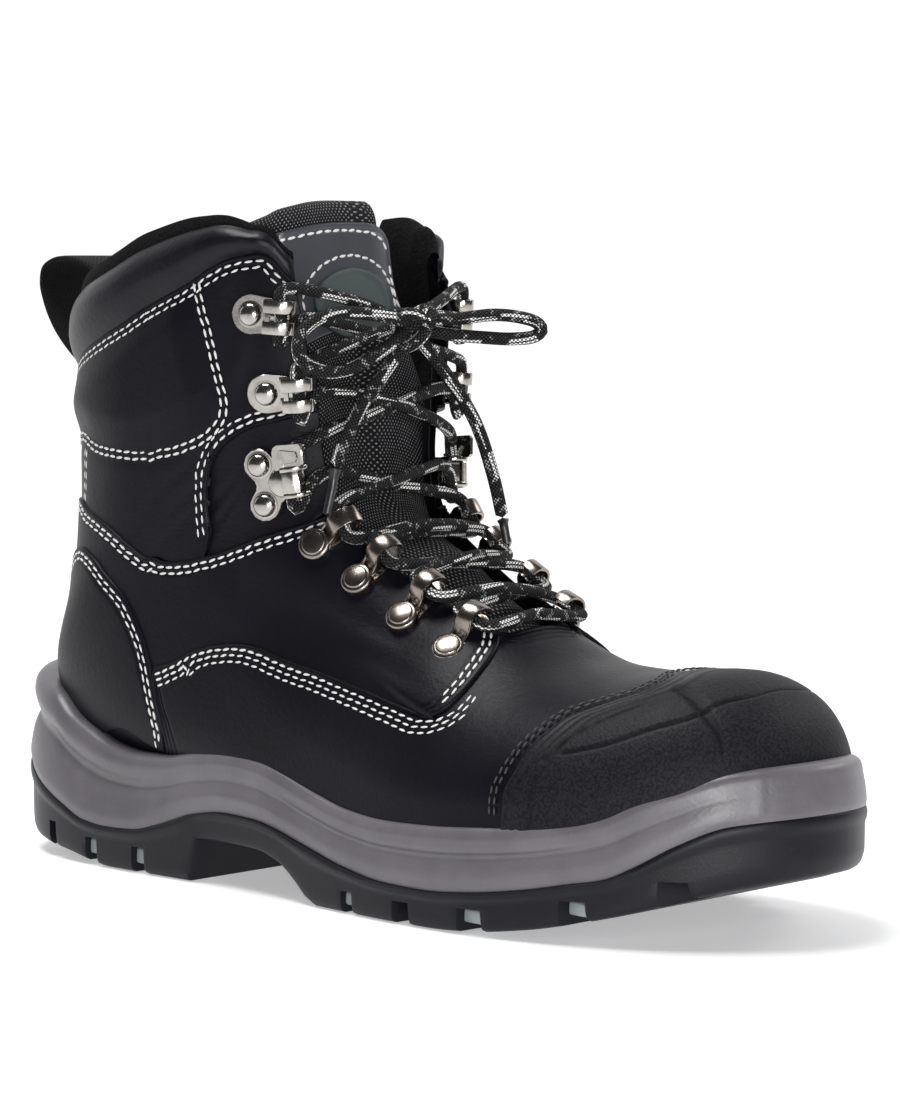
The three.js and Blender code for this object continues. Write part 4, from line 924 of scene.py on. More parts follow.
def build_vamp():
    reach = 124.0

    def top(u):
        degrees = -reach + 2 * reach * u
        around = np.abs(degrees)
        under = 9.0 + 0.5 * smooth(around, 12, 24)
        free = smooth(around, 53, 57)
        return under * (1 - free) + wing_line(np.maximum(around, 56)) * free, degrees

    def bottom(u):
        degrees = -reach + 2 * reach * u
        return cap_rear(np.clip(np.abs(degrees), 0, 120)) - 0.35, degrees
    near = (0.0, 0.0, 0.12, 0.3, 0.55, 0.9, 1.3, 1.6, 1.9, 2.2, 2.7, 3.2, 3.6, 4.0, 4.8, 5.4, 5.7, 6.0, 6.6,
            7.4, 8.4)
    panel("vamp_leather", 330, 84, top, bottom, vamp_level, near=near, sewn=(1.9, 3.7, 5.6), replaces=("vamp",))


def build_counter():
    edge = both_sides(*polyline(COUNTER_EDGE), from_throat=False)
    far = both_sides(
        *polyline([(14.4, 180), (14.2, 168), (13.9, 150), (13.5, 132), (13.2, 122), (12.45, 122.6)]),
        from_throat=False)
    panel("heel_counter_leather", 260, 60, edge, far, lambda t, d: COUNTER_LEVEL, replaces=("heel_counter",))


def toward(points):
    """Nearest distance in mm on the last from many spots to a seam drawn on one side."""
    t_of, d_of = polyline(points)
    s = np.linspace(0, 1, 150)
    t, d = t_of(s), d_of(s)
    spots = last_point(t, -d)

    def distance(where):
        mirrored = where.copy()
        mirrored[:, 1] = -np.abs(mirrored[:, 1])
        found = np.full(len(where), 1e9)
        share = np.zeros(len(where))
        for spot, at in zip(spots, s):
            gap = np.linalg.norm(mirrored - spot, axis=1)
            better = gap < found
            found = np.where(better, gap, found)
            share = np.where(better, at, share)
        return found, share
    return distance


def build_toe_cap():
    groove = toward(CAP_GROOVE)
    rib = toward(CAP_RIB)
    flange = toward(CAP_FLANGE)
    rows = 100

    def place(u, v):
        degrees = -118 + 236 * u
        k = np.rint(v * rows)
        start = cap_rear(np.abs(degrees))
        length = arc_mm(start, degrees, np.zeros_like(start), degrees, 16)
        near = (0.0, 0.0, 0.15, 0.4, 0.8, 1.2, 1.6, 2.0, 2.4, 2.8, 3.2, 3.6, 4.0, 4.4, 5.0, 5.8, 6.8, 8.0)
        distance = edge_rows(near, length, rows, k)
        share = distance / length
        t = start * (1 - share)
        base = last_point(t, degrees)
        near_groove, _ = groove(base)
        near_rib, along_rib = rib(base)
        near_flange, _ = flange(base)
        border = smooth(distance, 5.2, 6.2)
        rib_width = 0.4 + 1.3 * np.sin(np.pi * np.clip(along_rib, 0.02, 1) ** 0.7)
        height = CAP_LEVEL - open_edge(distance, 1.8, 1.0) - troughs(distance, (1.7, 3.3), 0.3, 0.42)
        height = height - 0.35 * border * (1 - smooth(distance, 6.2, 7.4)) * 0.4
        height = height - 0.7 * np.exp(-(near_groove / 0.55) ** 2)
        height = height - 0.4 * np.exp(-(near_flange / 0.55) ** 2)
        dip = smooth(rib_width - near_rib, -0.5, 0.5)
        height = height - 0.8 * dip * smooth(distance, 4.5, 6.0)
        height = height - np.where(k == 0, 1.8, 0)
        pebbled = border * (1 - dip) * (1 - np.exp(-(near_groove / 1.0) ** 2))
        # Painted shade, kept as the shade value: darker in the groove, along the flange, in the rib's dip and at the
        # border step.
        shade = np.exp(-(near_groove / 0.42) ** 2) * 0.9 + np.exp(-(near_flange / 0.42) ** 2) * 0.7
        shade = shade + dip * 0.35 + np.exp(-((distance - 5.6) / 0.35) ** 2) * 0.5
        return skin(t, degrees, height), {"pebbled": pebbled, "shade": np.clip(shade, 0, 1)}
    bm = mapped_grid(280, rows, place, facing=from_last)
    bmesh.ops.remove_doubles(bm, verts=bm.verts, dist=1e-6)
    finish("toe_bumper", bm, "bumper", ("toe_cap",), crease=60, solidify=1.0)


def build_lining():
    def place(u, v):
        turn = 37.0 + 286.0 * u
        around = np.minimum(turn, 360 - turn)
        top = collar_line(np.clip(around, 38.5, 180)) - 0.05
        t = 9.0 + (top - 9.0) * v
        edge = throat_rows(np.clip(t, 8.7, 21))
        squeeze = np.where(around < 90, edge + (around - 37.0) * (90 - edge) / 53.0, around)
        turn = np.where(u <= 0.5, squeeze, 360 - squeeze)
        inner = np.sin(np.radians(-turn)) > 0
        return skin(t, -turn, -2.5 + 2.6 * smooth(50 - np.minimum(turn, 360 - turn), 0, 13) * inner)
    bm = mapped_grid(120, 60, place, facing=from_last)
    bmesh.ops.reverse_faces(bm, faces=bm.faces)
    finish("inner_lining", bm, "lining")


# Collar
COLLAR_TOP = station_by_angle([
    (18.45, 38.5), (18.62, 40.5), (18.95, 44), (19.4, 50), (19.68, 58), (19.9, 66), (20.02, 78), (20.05, 90),
    (19.98, 104), (19.98, 128), (20.05, 150), (20.1, 180),
])
ROLL = [
    (-0.16, -1.3), (-0.04, -0.6), (0.05, 0.5), (0.16, 1.7), (0.3, 2.7), (0.46, 3.2), (0.62, 3.15), (0.78, 2.5),
    (0.9, 1.5), (1.0, 0.2), (1.06, -0.6),
]
LINING_ROLL = [
    (1.0, -0.1), (1.1, -0.2), (1.22, -0.9), (1.3, -2.0), (1.3, -3.4), (1.2, -4.9), (0.98, -6.2), (0.66, -7.1),
    (0.25, -7.5), (-0.25, -7.3), (-0.85, -6.4), (-1.5, -5.2), (-2.3, -4.0), (-3.2, -3.1), (-4.2, -2.7),
]


def collar_part(name, start, end, profile, paint, replaces=()):
    shares = np.linspace(0, 1, len(profile))
    rise = between(shares, [p[0] for p in profile])
    out = between(shares, [p[1] for p in profile])

    def place(u, v):
        turn = start + (end - start) * u
        around = np.minimum(turn, 360 - turn)
        seam, top = collar_line(around), COLLAR_TOP(around)
        ends = np.minimum(turn - start, end - turn)
        close = np.sqrt(np.clip(1 - (1 - np.clip(ends / 3.2, 0, 1)) ** 2, 0, 1))
        front = smooth(around, 38, 54)
        share, lift = rise(v), out(v)
        full = np.where(lift > 0, lift * (0.35 + 0.65 * front), lift * (0.45 + 0.55 * front))
        full = full * close + (1 - close) * np.where(lift > 0, -0.6, lift * 0.6)
        crumple = 0.25 * np.sin(turn * 0.13) * np.sin(np.pi * np.clip(share, 0, 1))
        crumple = crumple - 0.5 * bump(turn, 57, 2.2) * bump(share, 0.35, 0.3)
        crumple = crumple - 0.4 * bump(turn, 46, 1.6) * bump(share, 0.5, 0.3)
        width = np.maximum(top - seam, 0.5)
        t = seam + width * share
        uv = np.stack([turn * 0.75, share * 13], -1)
        return skin(t, -turn, full + crumple * (share > 0.1)), {"uv": uv}
    steps = int(abs(end - start) * 0.8)
    bm = mapped_grid(max(steps, 20), 40, place, facing=from_last)
    return finish(name, bm, paint, replaces, crease=70)


def build_collar():
    for name, start, end, nodes in (
        ("collar_roll", 38.2, 260.5, ("collar",)),
        ("collar_roll_inner_front", 279.5, 321.8, ("collar_inner_front",)),
    ):
        roll = collar_part(name, start, end, ROLL, "collar_leather", nodes)
        edge = collar_part(name.replace("roll", "lining"), start, end, LINING_ROLL, "lining")


# Tongue
TONGUE_GAP = 0.8
UPPER_WALL = 2.4
TONGUE_RECESS = 8.0
# The tongue leans to the little-toe side above the ankle: station, outer and inner edge in degrees.
TONGUE_SIDES = [
    (8.2, -13, 13), (8.7, -21, 21), (9.3, -27, 27), (10.6, -32, 32), (12.3, -39, 39), (14.0, -45, 42),
    (15.5, -49, 37),
    (17.0, -58, 22), (18.0, -66, 15), (19.0, -74, 12), (19.98, -80, 8),
]
tongue_outer = rounded([r[0] for r in TONGUE_SIDES], [r[1] for r in TONGUE_SIDES])
tongue_inner = rounded([r[0] for r in TONGUE_SIDES], [r[2] for r in TONGUE_SIDES])


def tongue_point(t, degrees, lift):
    half = throat_rows(np.clip(t, 8.7, 21))
    inside = np.clip(1 - (degrees / (1.15 * half)) ** 2, 0, None)
    rise = smooth(t, 10.8, 13)
    tuck = 5.5 * smooth(-degrees, 42, 56) * smooth(t, 15.5, 17.5) + 3.0 * smooth(degrees, -8, 16) * smooth(t, 15.5, 18)
    return skin(t, degrees, -UPPER_WALL - TONGUE_GAP - TONGUE_RECESS * inside * rise - tuck + lift)


def patch_sides(t):
    """The leather patch's two edges on the tongue, in degrees."""
    return tongue_outer(t) + 16, tongue_inner(t) - 0.5


def build_tongue():
    start, end = TONGUE_SIDES[0][0], 19.98

    def place(u, v):
        t = start + (end - start) * u
        angle = 2 * math.pi * v
        c, s = np.cos(angle), np.sin(angle)
        thick = 5.0 * (0.5 + 0.5 * smooth(u, 0.1, 0.4)) + 2.6 * smooth(u, 0.86, 0.95)
        top = np.sqrt(np.clip(1 - np.clip((u - 0.965) / 0.035, 0, 1) ** 2, 0.0, 1))
        across = np.sign(c) * np.abs(c) ** 0.9 * (0.95 + 0.05 * top)
        left, right = tongue_outer(t), tongue_inner(t)
        degrees = (left + right) / 2 + across * (right - left) / 2
        body = np.sign(s) * np.abs(s) ** 0.5
        puff = 0.7 * smooth(u, 0.2, 0.5) * np.clip(s, 0, 1) * (1 - bump(u, 0.9, 0.02) * 1.2)
        ripple = 0.3 * np.sin(t * 4.1 + degrees * 0.05) * np.clip(s, 0, 1)
        ripple = ripple - 1.8 * bump(t + degrees * 0.022, 15.4, 0.22) * np.clip(s, 0, 1) * smooth(degrees,
                                                                                                  -30, 10)
        ripple = ripple - 1.3 * bump(t + degrees * 0.03, 14.3, 0.2) * np.clip(s, 0, 1) * smooth(degrees, -40, 0)
        lift = -thick / 2 + body * thick / 2 * top + puff * top + ripple * 0.6
        lift = lift + 1.0 * smooth(u, 0.93, 0.96) * np.clip(s, 0, 1) * top
        points = tongue_point(t, degrees, lift)
        uv = np.stack([degrees * 0.85, t * 12.2], -1)
        return points, {"uv": uv}
    bm = mapped_grid(150, 96, place, facing=from_last, wrap=True)
    tongue = finish("tongue_nylon", bm, "nylon", ("tongue",), crease=80)

    def patch(u, v):
        corner = np.clip((u - 0.84) / 0.16, 0, 1)
        top = 19.44 - 0.75 * (1 - np.sqrt(np.clip(1 - corner ** 2, 0, 1)))
        t = 16.7 + (top - 16.7) * v
        left, right = patch_sides(t)
        degrees = left + (right - left) * u
        edge = np.minimum((1 - u) * 45, (1 - v) * 33)
        height = 1.9 - open_edge(edge, 1.2, 0.9) - 0.25 * bump(edge, 2.4, 0.6)
        return tongue_point(t, degrees, height), {"wear": 0.5 * bump(u, 0.3, 0.2) * bump(v, 0.8, 0.2)}
    bm = mapped_grid(90, 60, patch, facing=from_last)
    finish("tongue_patch_leather", bm, "patch", ("tongue_patch",), solidify=0.8)

    centre = (140.4, -6.8, 174.1)

    stations = np.linspace(16.4, 19.6, 70)
    turns = np.linspace(-62, 24, 90)
    tt, dd = np.meshgrid(stations, turns, indexing="ij")
    spots = tongue_point(tt, dd, 1.9)

    def on_patch(y, z, lift):
        best_t, best_d = np.zeros(len(y)), np.zeros(len(y))
        for n in range(len(y)):
            gap = (spots[..., 1] - y[n]) ** 2 + (spots[..., 2] - z[n]) ** 2
            i, j = np.unravel_index(np.argmin(gap), gap.shape)
            best_t[n], best_d[n] = tt[i, j], dd[i, j]
        for _ in range(6):
            here = tongue_point(best_t, best_d, 1.9)
            step_t = (tongue_point(best_t + 0.02, best_d, 1.9) - here) / 0.02
            step_d = (tongue_point(best_t, best_d + 0.2, 1.9) - here) / 0.2
            a, b, c, d = step_t[:, 1], step_d[:, 1], step_t[:, 2], step_d[:, 2]
            ey, ez = y - here[:, 1], z - here[:, 2]
            det = a * d - b * c
            best_t = best_t + (ey * d - ez * b) / det
            best_d = best_d + (a * ez - c * ey) / det
        return tongue_point(best_t, best_d, 1.9 + lift)

    def badge(u, v):
        angle = 2 * math.pi * u
        radius = np.maximum(v, 0.001)
        y = centre[1] + 17.0 * radius * np.cos(angle)
        z = centre[2] + 10.6 * radius * np.sin(angle)
        rim = smooth(v, 0.83, 0.87) * (1 - smooth(v, 0.95, 1.0))
        lift = 0.75 + 0.55 * rim - 0.9 * smooth(v, 0.965, 1.0)
        return on_patch(y, z, lift)
    bm = mapped_grid(72, 26, badge, facing=from_last, wrap=True)
    finish("tongue_badge_oval", bm, "badge", ("tongue_badge",), crease=60, solidify=0.8)

    # The patch's stitches: a straight row under the top edge, and an arc around the oval.
    row = []
    for share in np.linspace(0.0, 0.955, 90):
        corner = max(0.0, (share - 0.8) / 0.155)
        t = 19.21 - 0.75 * (1 - math.sqrt(max(0.0, 1 - corner ** 2)))
        left, right = patch_sides(t)
        row.append(tongue_point(t, left + (right - left) * share, 1.95))
    down = []
    for t in np.linspace(18.4, 16.9, 30):
        left, right = patch_sides(t)
        down.append(tongue_point(t, left + (right - left) * 0.955, 1.95))
    angles = np.radians(np.linspace(-20, 200, 90))
    ys = centre[1] + 20.6 * np.cos(angles)
    zs = centre[2] + 14.2 * np.sin(angles)
    arc = on_patch(ys, zs, 0.05)
    normals = last_normal(np.array(18.5), np.array(0.0))
    bm = bmesh.new()
    for line in (np.array(row), np.array(down), np.array(arc)):
        sew(bm, line, np.repeat(normals[None], len(line), 0))
    finish("tongue_stitches", bm, "pale_thread")


# Stitches
def sew(bm, line, normals, pitch=None, length=2.8, width=0.88, skip=None):
    """Puts one sunk, rounded thread per pitch along a line of points, in real millimetres."""
    pitch = pitch or size_of("stitch_pitch")
    run = run_of(line)
    count = int(run[-1] // pitch)
    for n in range(count):
        at = (n + 0.5) * pitch
        point = np.array([np.interp(at, run, line[:, k]) for k in range(3)])
        ahead = np.array([np.interp(at + 0.5, run, line[:, k]) for k in range(3)])
        behind = np.array([np.interp(at - 0.5, run, line[:, k]) for k in range(3)])
        normal = unit(np.array([np.interp(at, run, normals[:, k]) for k in range(3)]))
        if skip is not None and skip(point):
            continue
        along = unit(ahead - behind)
        across = unit(np.cross(normal, along))
        normal = np.cross(along, across)
        place = in_frame(point - normal * 0.02)
        tilt = 0.16 if n % 2 else 0.02
        along = along * math.cos(tilt) + across * math.sin(tilt)
        across = np.cross(normal, along)
        matrix = Matrix((
            (*(along * length / 2 * MM), 0), (*(across * width / 2 * MM), 0), (*(normal * 0.34 * MM), 0),
            (0, 0, 0, 1),
        )).transposed()
        matrix.translation = Vector(place)
        bmesh.ops.create_uvsphere(bm, u_segments=6, v_segments=5, radius=1.0, matrix=matrix @ TURN_POLE)


TURN_POLE = Matrix.Rotation(math.pi / 2, 4, "Y")


def seam_line(points, offset, level, side, lift=0.0, start=0.0, end=1.0, count=260):
    """A seam moved sideways over the last: spots and normals. Positive offsets go down the boot."""
    t_of, d_of = polyline(points)
    s = np.linspace(start, end, count)
    t, d = t_of(s), side * d_of(s)
    here = last_point(t, d)
    normal = last_normal(t, d)
    along = unit(np.gradient(here, axis=0))
    across = np.cross(normal, along)
    down = last_point(t - 0.02, d) - here
    sign = np.sign((across * down).sum(-1))
    target = across * np.sign(np.median(np.where(sign == 0, 1, sign))) * offset
    step_t = (last_point(t + 0.02, d) - here) / 0.02
    step_d = (last_point(t, d + 0.3) - here) / 0.3
    a = (step_t * step_t).sum(-1)
    b = (step_t * step_d).sum(-1)
    c = (step_d * step_d).sum(-1)
    p, q = (target * step_t).sum(-1), (target * step_d).sum(-1)
    det = a * c - b * b
    t = t + (p * c - q * b) / det
    d = d + (a * q - b * p) / det
    fold, _ = folds(t, d)
    return skin(t, d, level(t, d) + fold + lift), last_normal(t, d)


def build_stitches():
    def near_zip(point):
        return point[1] > 0 and point[2] > 74 and abs(point[0] - zip_x(point[2])) < 10.5

    sunk = -0.12
    seams = {
        "collar_stitches": [
            (COLLAR_SEAM, (2.0, 3.9), shaft_level, 0.0, 1.0),
            (PAD_SEAM, (-1.1, 0.9), lambda t, d: SHAFT_LEVEL + 0.2, 0.0, 1.0),
        ],
        "quarter_stitches": [
            (SHAFT_SEAM, (2.0, 3.9), quarter_level, 0.0, 1.0),
            (FACING_EDGE, (-2.6, -4.5), quarter_level, 0.0, 0.98),
        ],
        "window_stitches": [(WINDOW_EDGE + [(14.1, 76.2)], (-2.0, -3.9), shaft_level, 0.03, 1.0)],
        "vamp_stitches": [
            (WING_EDGE[:-1] + WING_TURN, (1.9, 3.7), vamp_level, 0.0, 1.0),
            (WING_EDGE[:-1] + WING_TURN[:-1], (5.6,), vamp_level, 0.0, 1.0),
        ],
        "back_stitches": [
            (BACK_SEAM, (-1.0, 1.0), shaft_level, 0.0, 1.0),
            ([(t - 1.6, d) for t, d in BACK_SEAM], (-1.0, 1.0), quarter_level, 0.5, 1.0),
        ],
        "counter_stitches": [(COUNTER_EDGE, (2.0, 3.9), lambda t, d: COUNTER_LEVEL, 0.0, 1.0)],
    }
    for name, rows in seams.items():
        bm = bmesh.new()
        for points, offsets, level, start, end in rows:
            for side in (OUTER, INNER):
                if side == INNER and points is PAD_SEAM:
                    points = PAD_SEAM[-7:]
                for offset in offsets:
                    line, normals = seam_line(points, offset, level, side, sunk, start, end)
                    sew(bm, line, normals, skip=near_zip if side == INNER else None)
        finish(name, bm, "pale_thread", crease=80)
    bm = bmesh.new()
    for side in (OUTER, INNER):
        for offset in (1.7, 3.3):
            line, normals = seam_line(CAP_EDGE[:-1], -offset, lambda t, d: CAP_LEVEL, side, sunk)
            sew(bm, line, normals, pitch=3.0, length=2.3, width=0.75)
    finish("bumper_stitches", bm, "dark_thread", crease=80)
    bm = bmesh.new()
    for offset in (-10.6, 10.6):
        z = np.linspace(78, 180, 120)
        t, d = find_on_inner(zip_x(z) + offset, z)
        level = np.where(t > shaft_edge(np.abs(d)), shaft_level(t, d), quarter_level(t, d))
        fold, _ = folds(t, d)
        sew(bm, skin(t, d, level + fold + sunk), last_normal(t, d))
    finish("zip_stitches", bm, "pale_thread", crease=80)


def find_on_inner(x, z):
    """Station and degrees on the last's inner side of points given from the side."""
    stations, turns = np.linspace(12.5, 20.8, 200), np.linspace(60, 125, 120)
    tt, dd = np.meshgrid(stations, turns, indexing="ij")
    spots = last_point(tt, dd)
    t, d = np.zeros(len(x)), np.zeros(len(x))
    for n in range(len(x)):
        gap = (spots[..., 0] - x[n]) ** 2 + (spots[..., 2] - z[n]) ** 2
        i, j = np.unravel_index(np.argmin(gap), gap.shape)
        t[n], d[n] = tt[i, j], dd[i, j]
    return t, d


# Sole
def box_at(centre, sizes, turn=0.0):
    """The matrix that turns a unit cube into a box, from real millimetres."""
    place = Matrix.Translation(Vector(in_frame(np.array(centre)))) @ Matrix.Rotation(turn, 4, "Z")
    return place @ Matrix.Diagonal((*(size * MM for size in sizes), 1))


def soften_edges(bm, verts, offset, segments):
    edges = list({edge for vert in verts for edge in vert.link_edges})
    bmesh.ops.bevel(bm, geom=edges, offset=offset * MM, segments=segments, affect="EDGES", profile=0.5,
                    material=-1)


def half_width(share, side):
    column = 1 if side == OUTER else 2
    return float(np.interp(share, [row[0] for row in OUTLINE], [row[column] for row in OUTLINE])) * BALL_WIDTH


def outline_ring(count):
    rows = np.array(OUTLINE)
    turn = np.arccos(1 - 2 * rows[:, 0]) / math.pi
    halves = {OUTER: between(turn, rows[:, 1]), INNER: between(turn, rows[:, 2])}
    share = np.concatenate([np.linspace(0, 1, count + 1), np.linspace(1, 0, count + 1)[1:-1]])
    side = np.concatenate([np.full(count + 1, OUTER), np.full(count - 1, INNER)])
    x = SOLE_LENGTH * (1 - np.cos(math.pi * share)) / 2
    y = np.where(side < 0, -halves[OUTER](share), halves[INNER](share)) * BALL_WIDTH
    after, before = np.roll(np.arange(len(x)), -1), np.roll(np.arange(len(x)), 1)
    out = unit(np.stack([y[after] - y[before], x[before] - x[after]], -1))
    return x, y, out


def sole_height(column, share):
    rows = np.array(SOLE_HEIGHTS)
    return between(rows[:, 0], rows[:, column])(share) * BOOT_HEIGHT


def from_sole(place):
    """Outward from the middle of the sole."""
    return (place - Vector(in_frame((150, 0, 30)))).normalized()


def ring_loft(count, levels, place):
    """A closed wall around the sole; place gives x, y, z from ring arrays and a level share."""
    x, y, out = outline_ring(count)
    total = len(x)

    def spots(u, v):
        index = np.rint(u * total).astype(int) % total
        return place(x[index], y[index], out[index], v)
    return mapped_grid(total, levels, spots, facing=from_sole, wrap=True)


MIDSOLE_WALL = {
    "heel": [(0.0, 0.6), (0.1, 0.1), (0.22, 0.5), (0.36, 1.3), (0.47, 2.5), (0.54, 3.6), (0.6, 3.4), (0.7, 2.2),
             (0.8, 1.6), (0.9, 2.0), (0.97, 3.4), (1.0, 5.2)],
    "waist": [(0.0, 1.0), (0.1, 0.4), (0.22, 0.2), (0.46, 0.9), (0.53, 1.2), (0.66, 0.7), (0.8, 0.6), (0.9, 1.1),
              (0.97, 1.9), (1.0, 2.8)],
    "toe": [(0.0, 0.4), (0.1, 0.2), (0.3, 0.4), (0.5, 0.8), (0.66, 1.3), (0.8, 1.7), (0.9, 2.3), (0.97, 3.6),
            (1.0, 5.0)],
}
OUTSOLE_EDGE = [(0.76, 0.8), (0.8, 0.3), (0.86, 0.0), (0.97, 0.0), (1.0, 0.4)]
OUTSOLE_SIDE = [(0.0, 3.0), (0.03, 2.0), (0.1, 1.2), (0.3, 0.9)] + OUTSOLE_EDGE
OUTSOLE_WALL = {
    "heel": OUTSOLE_SIDE,
    "waist": OUTSOLE_SIDE,
    "toe": [(0.0, 4.6), (0.05, 3.0), (0.15, 1.6), (0.35, 0.7), (0.76, 0.6)] + OUTSOLE_EDGE[1:],
}


def wall_inset(walls, share, level):
    heel = 1 - smooth(share, 0.2, 0.36)
    toe = smooth(share, 0.85, 1.0)
    parts = {k: between([r[0] for r in w], [r[1] for r in w])(level) for k, w in walls.items()}
    return parts["heel"] * heel + parts["waist"] * (1 - heel - toe) + parts["toe"] * toe


def build_midsole():
    ledge = 0.9

    def place(x, y, out, v):
        share = x / SOLE_LENGTH
        level = np.clip(v / ledge, 0, 1)
        over = np.clip((v - ledge) / (1 - ledge), 0, 1)
        inset = wall_inset(MIDSOLE_WALL, share, level)
        ball = smooth(share, 0.42, 0.5) * (1 - smooth(share, 0.8, 0.88))
        inset = inset + 0.5 * ball * bump(level, 0.62, 0.035)
        arch = bump(share, 0.4, 0.07)
        inset = inset - 0.8 * arch * bump(level, 0.3, 0.14)
        seam = bump(x, 0.972 * SOLE_LENGTH, 0.55) * (y < 0)
        inset = inset - 0.35 * seam * smooth(level, 0.05, 0.15)
        low, high = sole_height(JOINT, share), sole_height(RIM, share)
        low = low + 0.15
        tuck = 7.0 * over
        z = low + (high - low) * level - 1.2 * over ** 2
        inset = inset + tuck
        return np.stack([x - out[:, 0] * inset, y - out[:, 1] * inset, z], -1)
    bm = ring_loft(170, 54, place)
    finish("midsole_wall", bm, "midsole", ("midsole",), crease=75)


def slab(count, column, lift):
    """A face across the sole's ring at a height, its corners those of the wall."""
    x, y, out = outline_ring(count)

    def place(u, v):
        i = np.rint(u * count).astype(int)
        j = (len(x) - i) % len(x)
        share = x[i] / SOLE_LENGTH
        inset_low = wall_inset(OUTSOLE_WALL, share, 0.0 if column == TREAD else 1.0)
        ax, ay = x[i] - out[i, 0] * inset_low, y[i] - out[i, 1] * inset_low
        bx, by = x[j] - out[j, 0] * inset_low, y[j] - out[j, 1] * inset_low
        z = sole_height(column, share) + lift
        return np.stack([ax + (bx - ax) * v, ay + (by - ay) * v, z], -1)
    return place


def join_into(bm, other):
    mesh = bpy.data.meshes.new("part")
    other.to_mesh(mesh)
    other.free()
    bm.from_mesh(mesh)
    bpy.data.meshes.remove(mesh)


def build_outsole():
    count = 120

    def place(x, y, out, v):
        share = x / SOLE_LENGTH
        inset = wall_inset(OUTSOLE_WALL, share, v)
        low, high = sole_height(TREAD, share), sole_height(JOINT, share)
        return np.stack([x - out[:, 0] * inset, y - out[:, 1] * inset, low + (high - low) * v], -1)
    bm = ring_loft(count, 18, place)
    join_into(bm, mapped_grid(count, 8, slab(count, TREAD, 0.0), facing=lambda p: Vector((0, 0, -1))))
    join_into(bm, mapped_grid(count, 8, slab(count, JOINT, 0.0), facing=lambda p: Vector((0, 0, 1))))
    bmesh.ops.remove_doubles(bm, verts=bm.verts, dist=2e-5)
    bmesh.ops.recalc_face_normals(bm, faces=bm.faces)
    outsole = finish("outsole_rubber", bm, "outsole", ("outsole",), crease=32)

    cutter = bmesh.new()
    for share, width in EDGE_GAPS:
        x = share * SOLE_LENGTH
        rise = float(sole_height(TREAD, share))
        for side in (OUTER, INNER):
            inner = half_width(share, side) - 15
            outer = half_width(share, side) + 8
            top = rise + (8.0 if share < 0.5 else 6.5)
            centre = np.array([x, side * (inner + outer) / 2, (top + rise - 12) / 2])
            matrix = box_at(centre, (width, outer - inner, top - rise + 12), side * 0.12)
            made = bmesh.ops.create_cube(cutter, size=1.0, matrix=matrix)
            top_verts = [v for v in made["verts"] if v.co.z > centre[2] * MM]
            bmesh.ops.scale(cutter, verts=top_verts, vec=(0.8, 1, 1),
                            space=Matrix.Translation(-Vector(in_frame(centre))))
    for x, y, length, width, turn in (
        (62, 0, 46, 6, 0.0), (190, 9, 30, 4, 0.5), (190, -9, 30, 4, -0.5), (222, 10, 32, 4, 0.5),
        (222, -12, 32, 4, -0.5),
        (252, 9, 30, 4, 0.5), (252, -10, 30, 4, -0.5), (170, 0, 24, 4, 1.57), (205, 0, 26, 4, 1.57),
        (238, 0, 26, 4, 1.57),
    ):
        rise = float(sole_height(TREAD, x / SOLE_LENGTH))
        bmesh.ops.create_cube(cutter, size=1.0, matrix=box_at((x, y, rise - 2.0), (length, width, 10), turn))
    mesh = bpy.data.meshes.new("tread_cutter")
    cutter.to_mesh(mesh)
    cutter.free()
    tool = bpy.data.objects.new("tread_cutter", mesh)
    bpy.context.scene.collection.objects.link(tool)
    carve = outsole.modifiers.new("Tread", "BOOLEAN")
    carve.operation = "DIFFERENCE"
    carve.solver = "EXACT"
    carve.use_self = True
    carve.object = tool
    soften = outsole.modifiers.new("Soften", "BEVEL")
    soften.width = 0.5 * MM
    soften.segments = 2
    soften.limit_method = "ANGLE"
    soften.angle_limit = math.radians(40)
    apply_modifiers(outsole)
    bpy.data.objects.remove(tool)
    sharpen(outsole, 32)
    build_inserts()


INSERT_SHARES = (0.176, 0.25, 0.568, 0.728, 0.832)


def build_inserts():
    """Pale studs set back in some gaps of the tread's edge."""
    bm = bmesh.new()
    for share, width in EDGE_GAPS:
        if share not in INSERT_SHARES:
            continue
        x = share * SOLE_LENGTH
        rise = float(sole_height(TREAD, share))
        high = 8.0 if share < 0.5 else 6.5
        for side in (OUTER, INNER):
            centre = (x, side * (half_width(share, side) - 7.5), rise + high * 0.62)
            matrix = box_at(centre, (width * 0.9, 9, high * 0.6), side * 0.12)
            made = bmesh.ops.create_cube(bm, size=1.0, matrix=matrix)
            soften_edges(bm, made["verts"], 0.9, 3)
    finish("tread_inserts", bm, "insert")


def apply_modifiers(obj):
    graph = bpy.context.evaluated_depsgraph_get()
    made = bpy.data.meshes.new_from_object(obj.evaluated_get(graph), depsgraph=graph)
    obj.modifiers.clear()
    old = obj.data
    obj.data = made
    bpy.data.meshes.remove(old)


def sharpen(obj, crease):
    bm = bmesh.new()
    bm.from_mesh(obj.data)
    shade(bm, crease)
    bm.to_mesh(obj.data)
    bm.free()


# Hardware
def seat_frame(seat, side, lift=0.0):
    """Axes of a piece riveted to the upper: u to the throat, v along it, n outward; and its spot."""
    t, around, turn = seat
    point = last_point(np.array(t), np.array(side * around))
    n = last_normal(np.array(t), np.array(side * around))
    ahead = last_point(np.array(t), np.array(side * (around - 6))) - point
    u = unit(ahead - n * (ahead @ n))
    v = np.cross(n, u)
    swing = side * math.radians(turn)
    u = u * math.cos(swing) + v * math.sin(swing)
    v = np.cross(n, u)
    return point + n * lift, u, v, n


def seat_matrix(seat, side, lift=0.0):
    point, u, v, n = seat_frame(seat, side, lift)
    place = in_frame(point)
    matrix = Matrix(((*u, 0), (*v, 0), (*n, 0), (0, 0, 0, 1))).transposed()
    matrix.translation = Vector(place)
    return matrix @ Matrix.Scale(MM, 4)


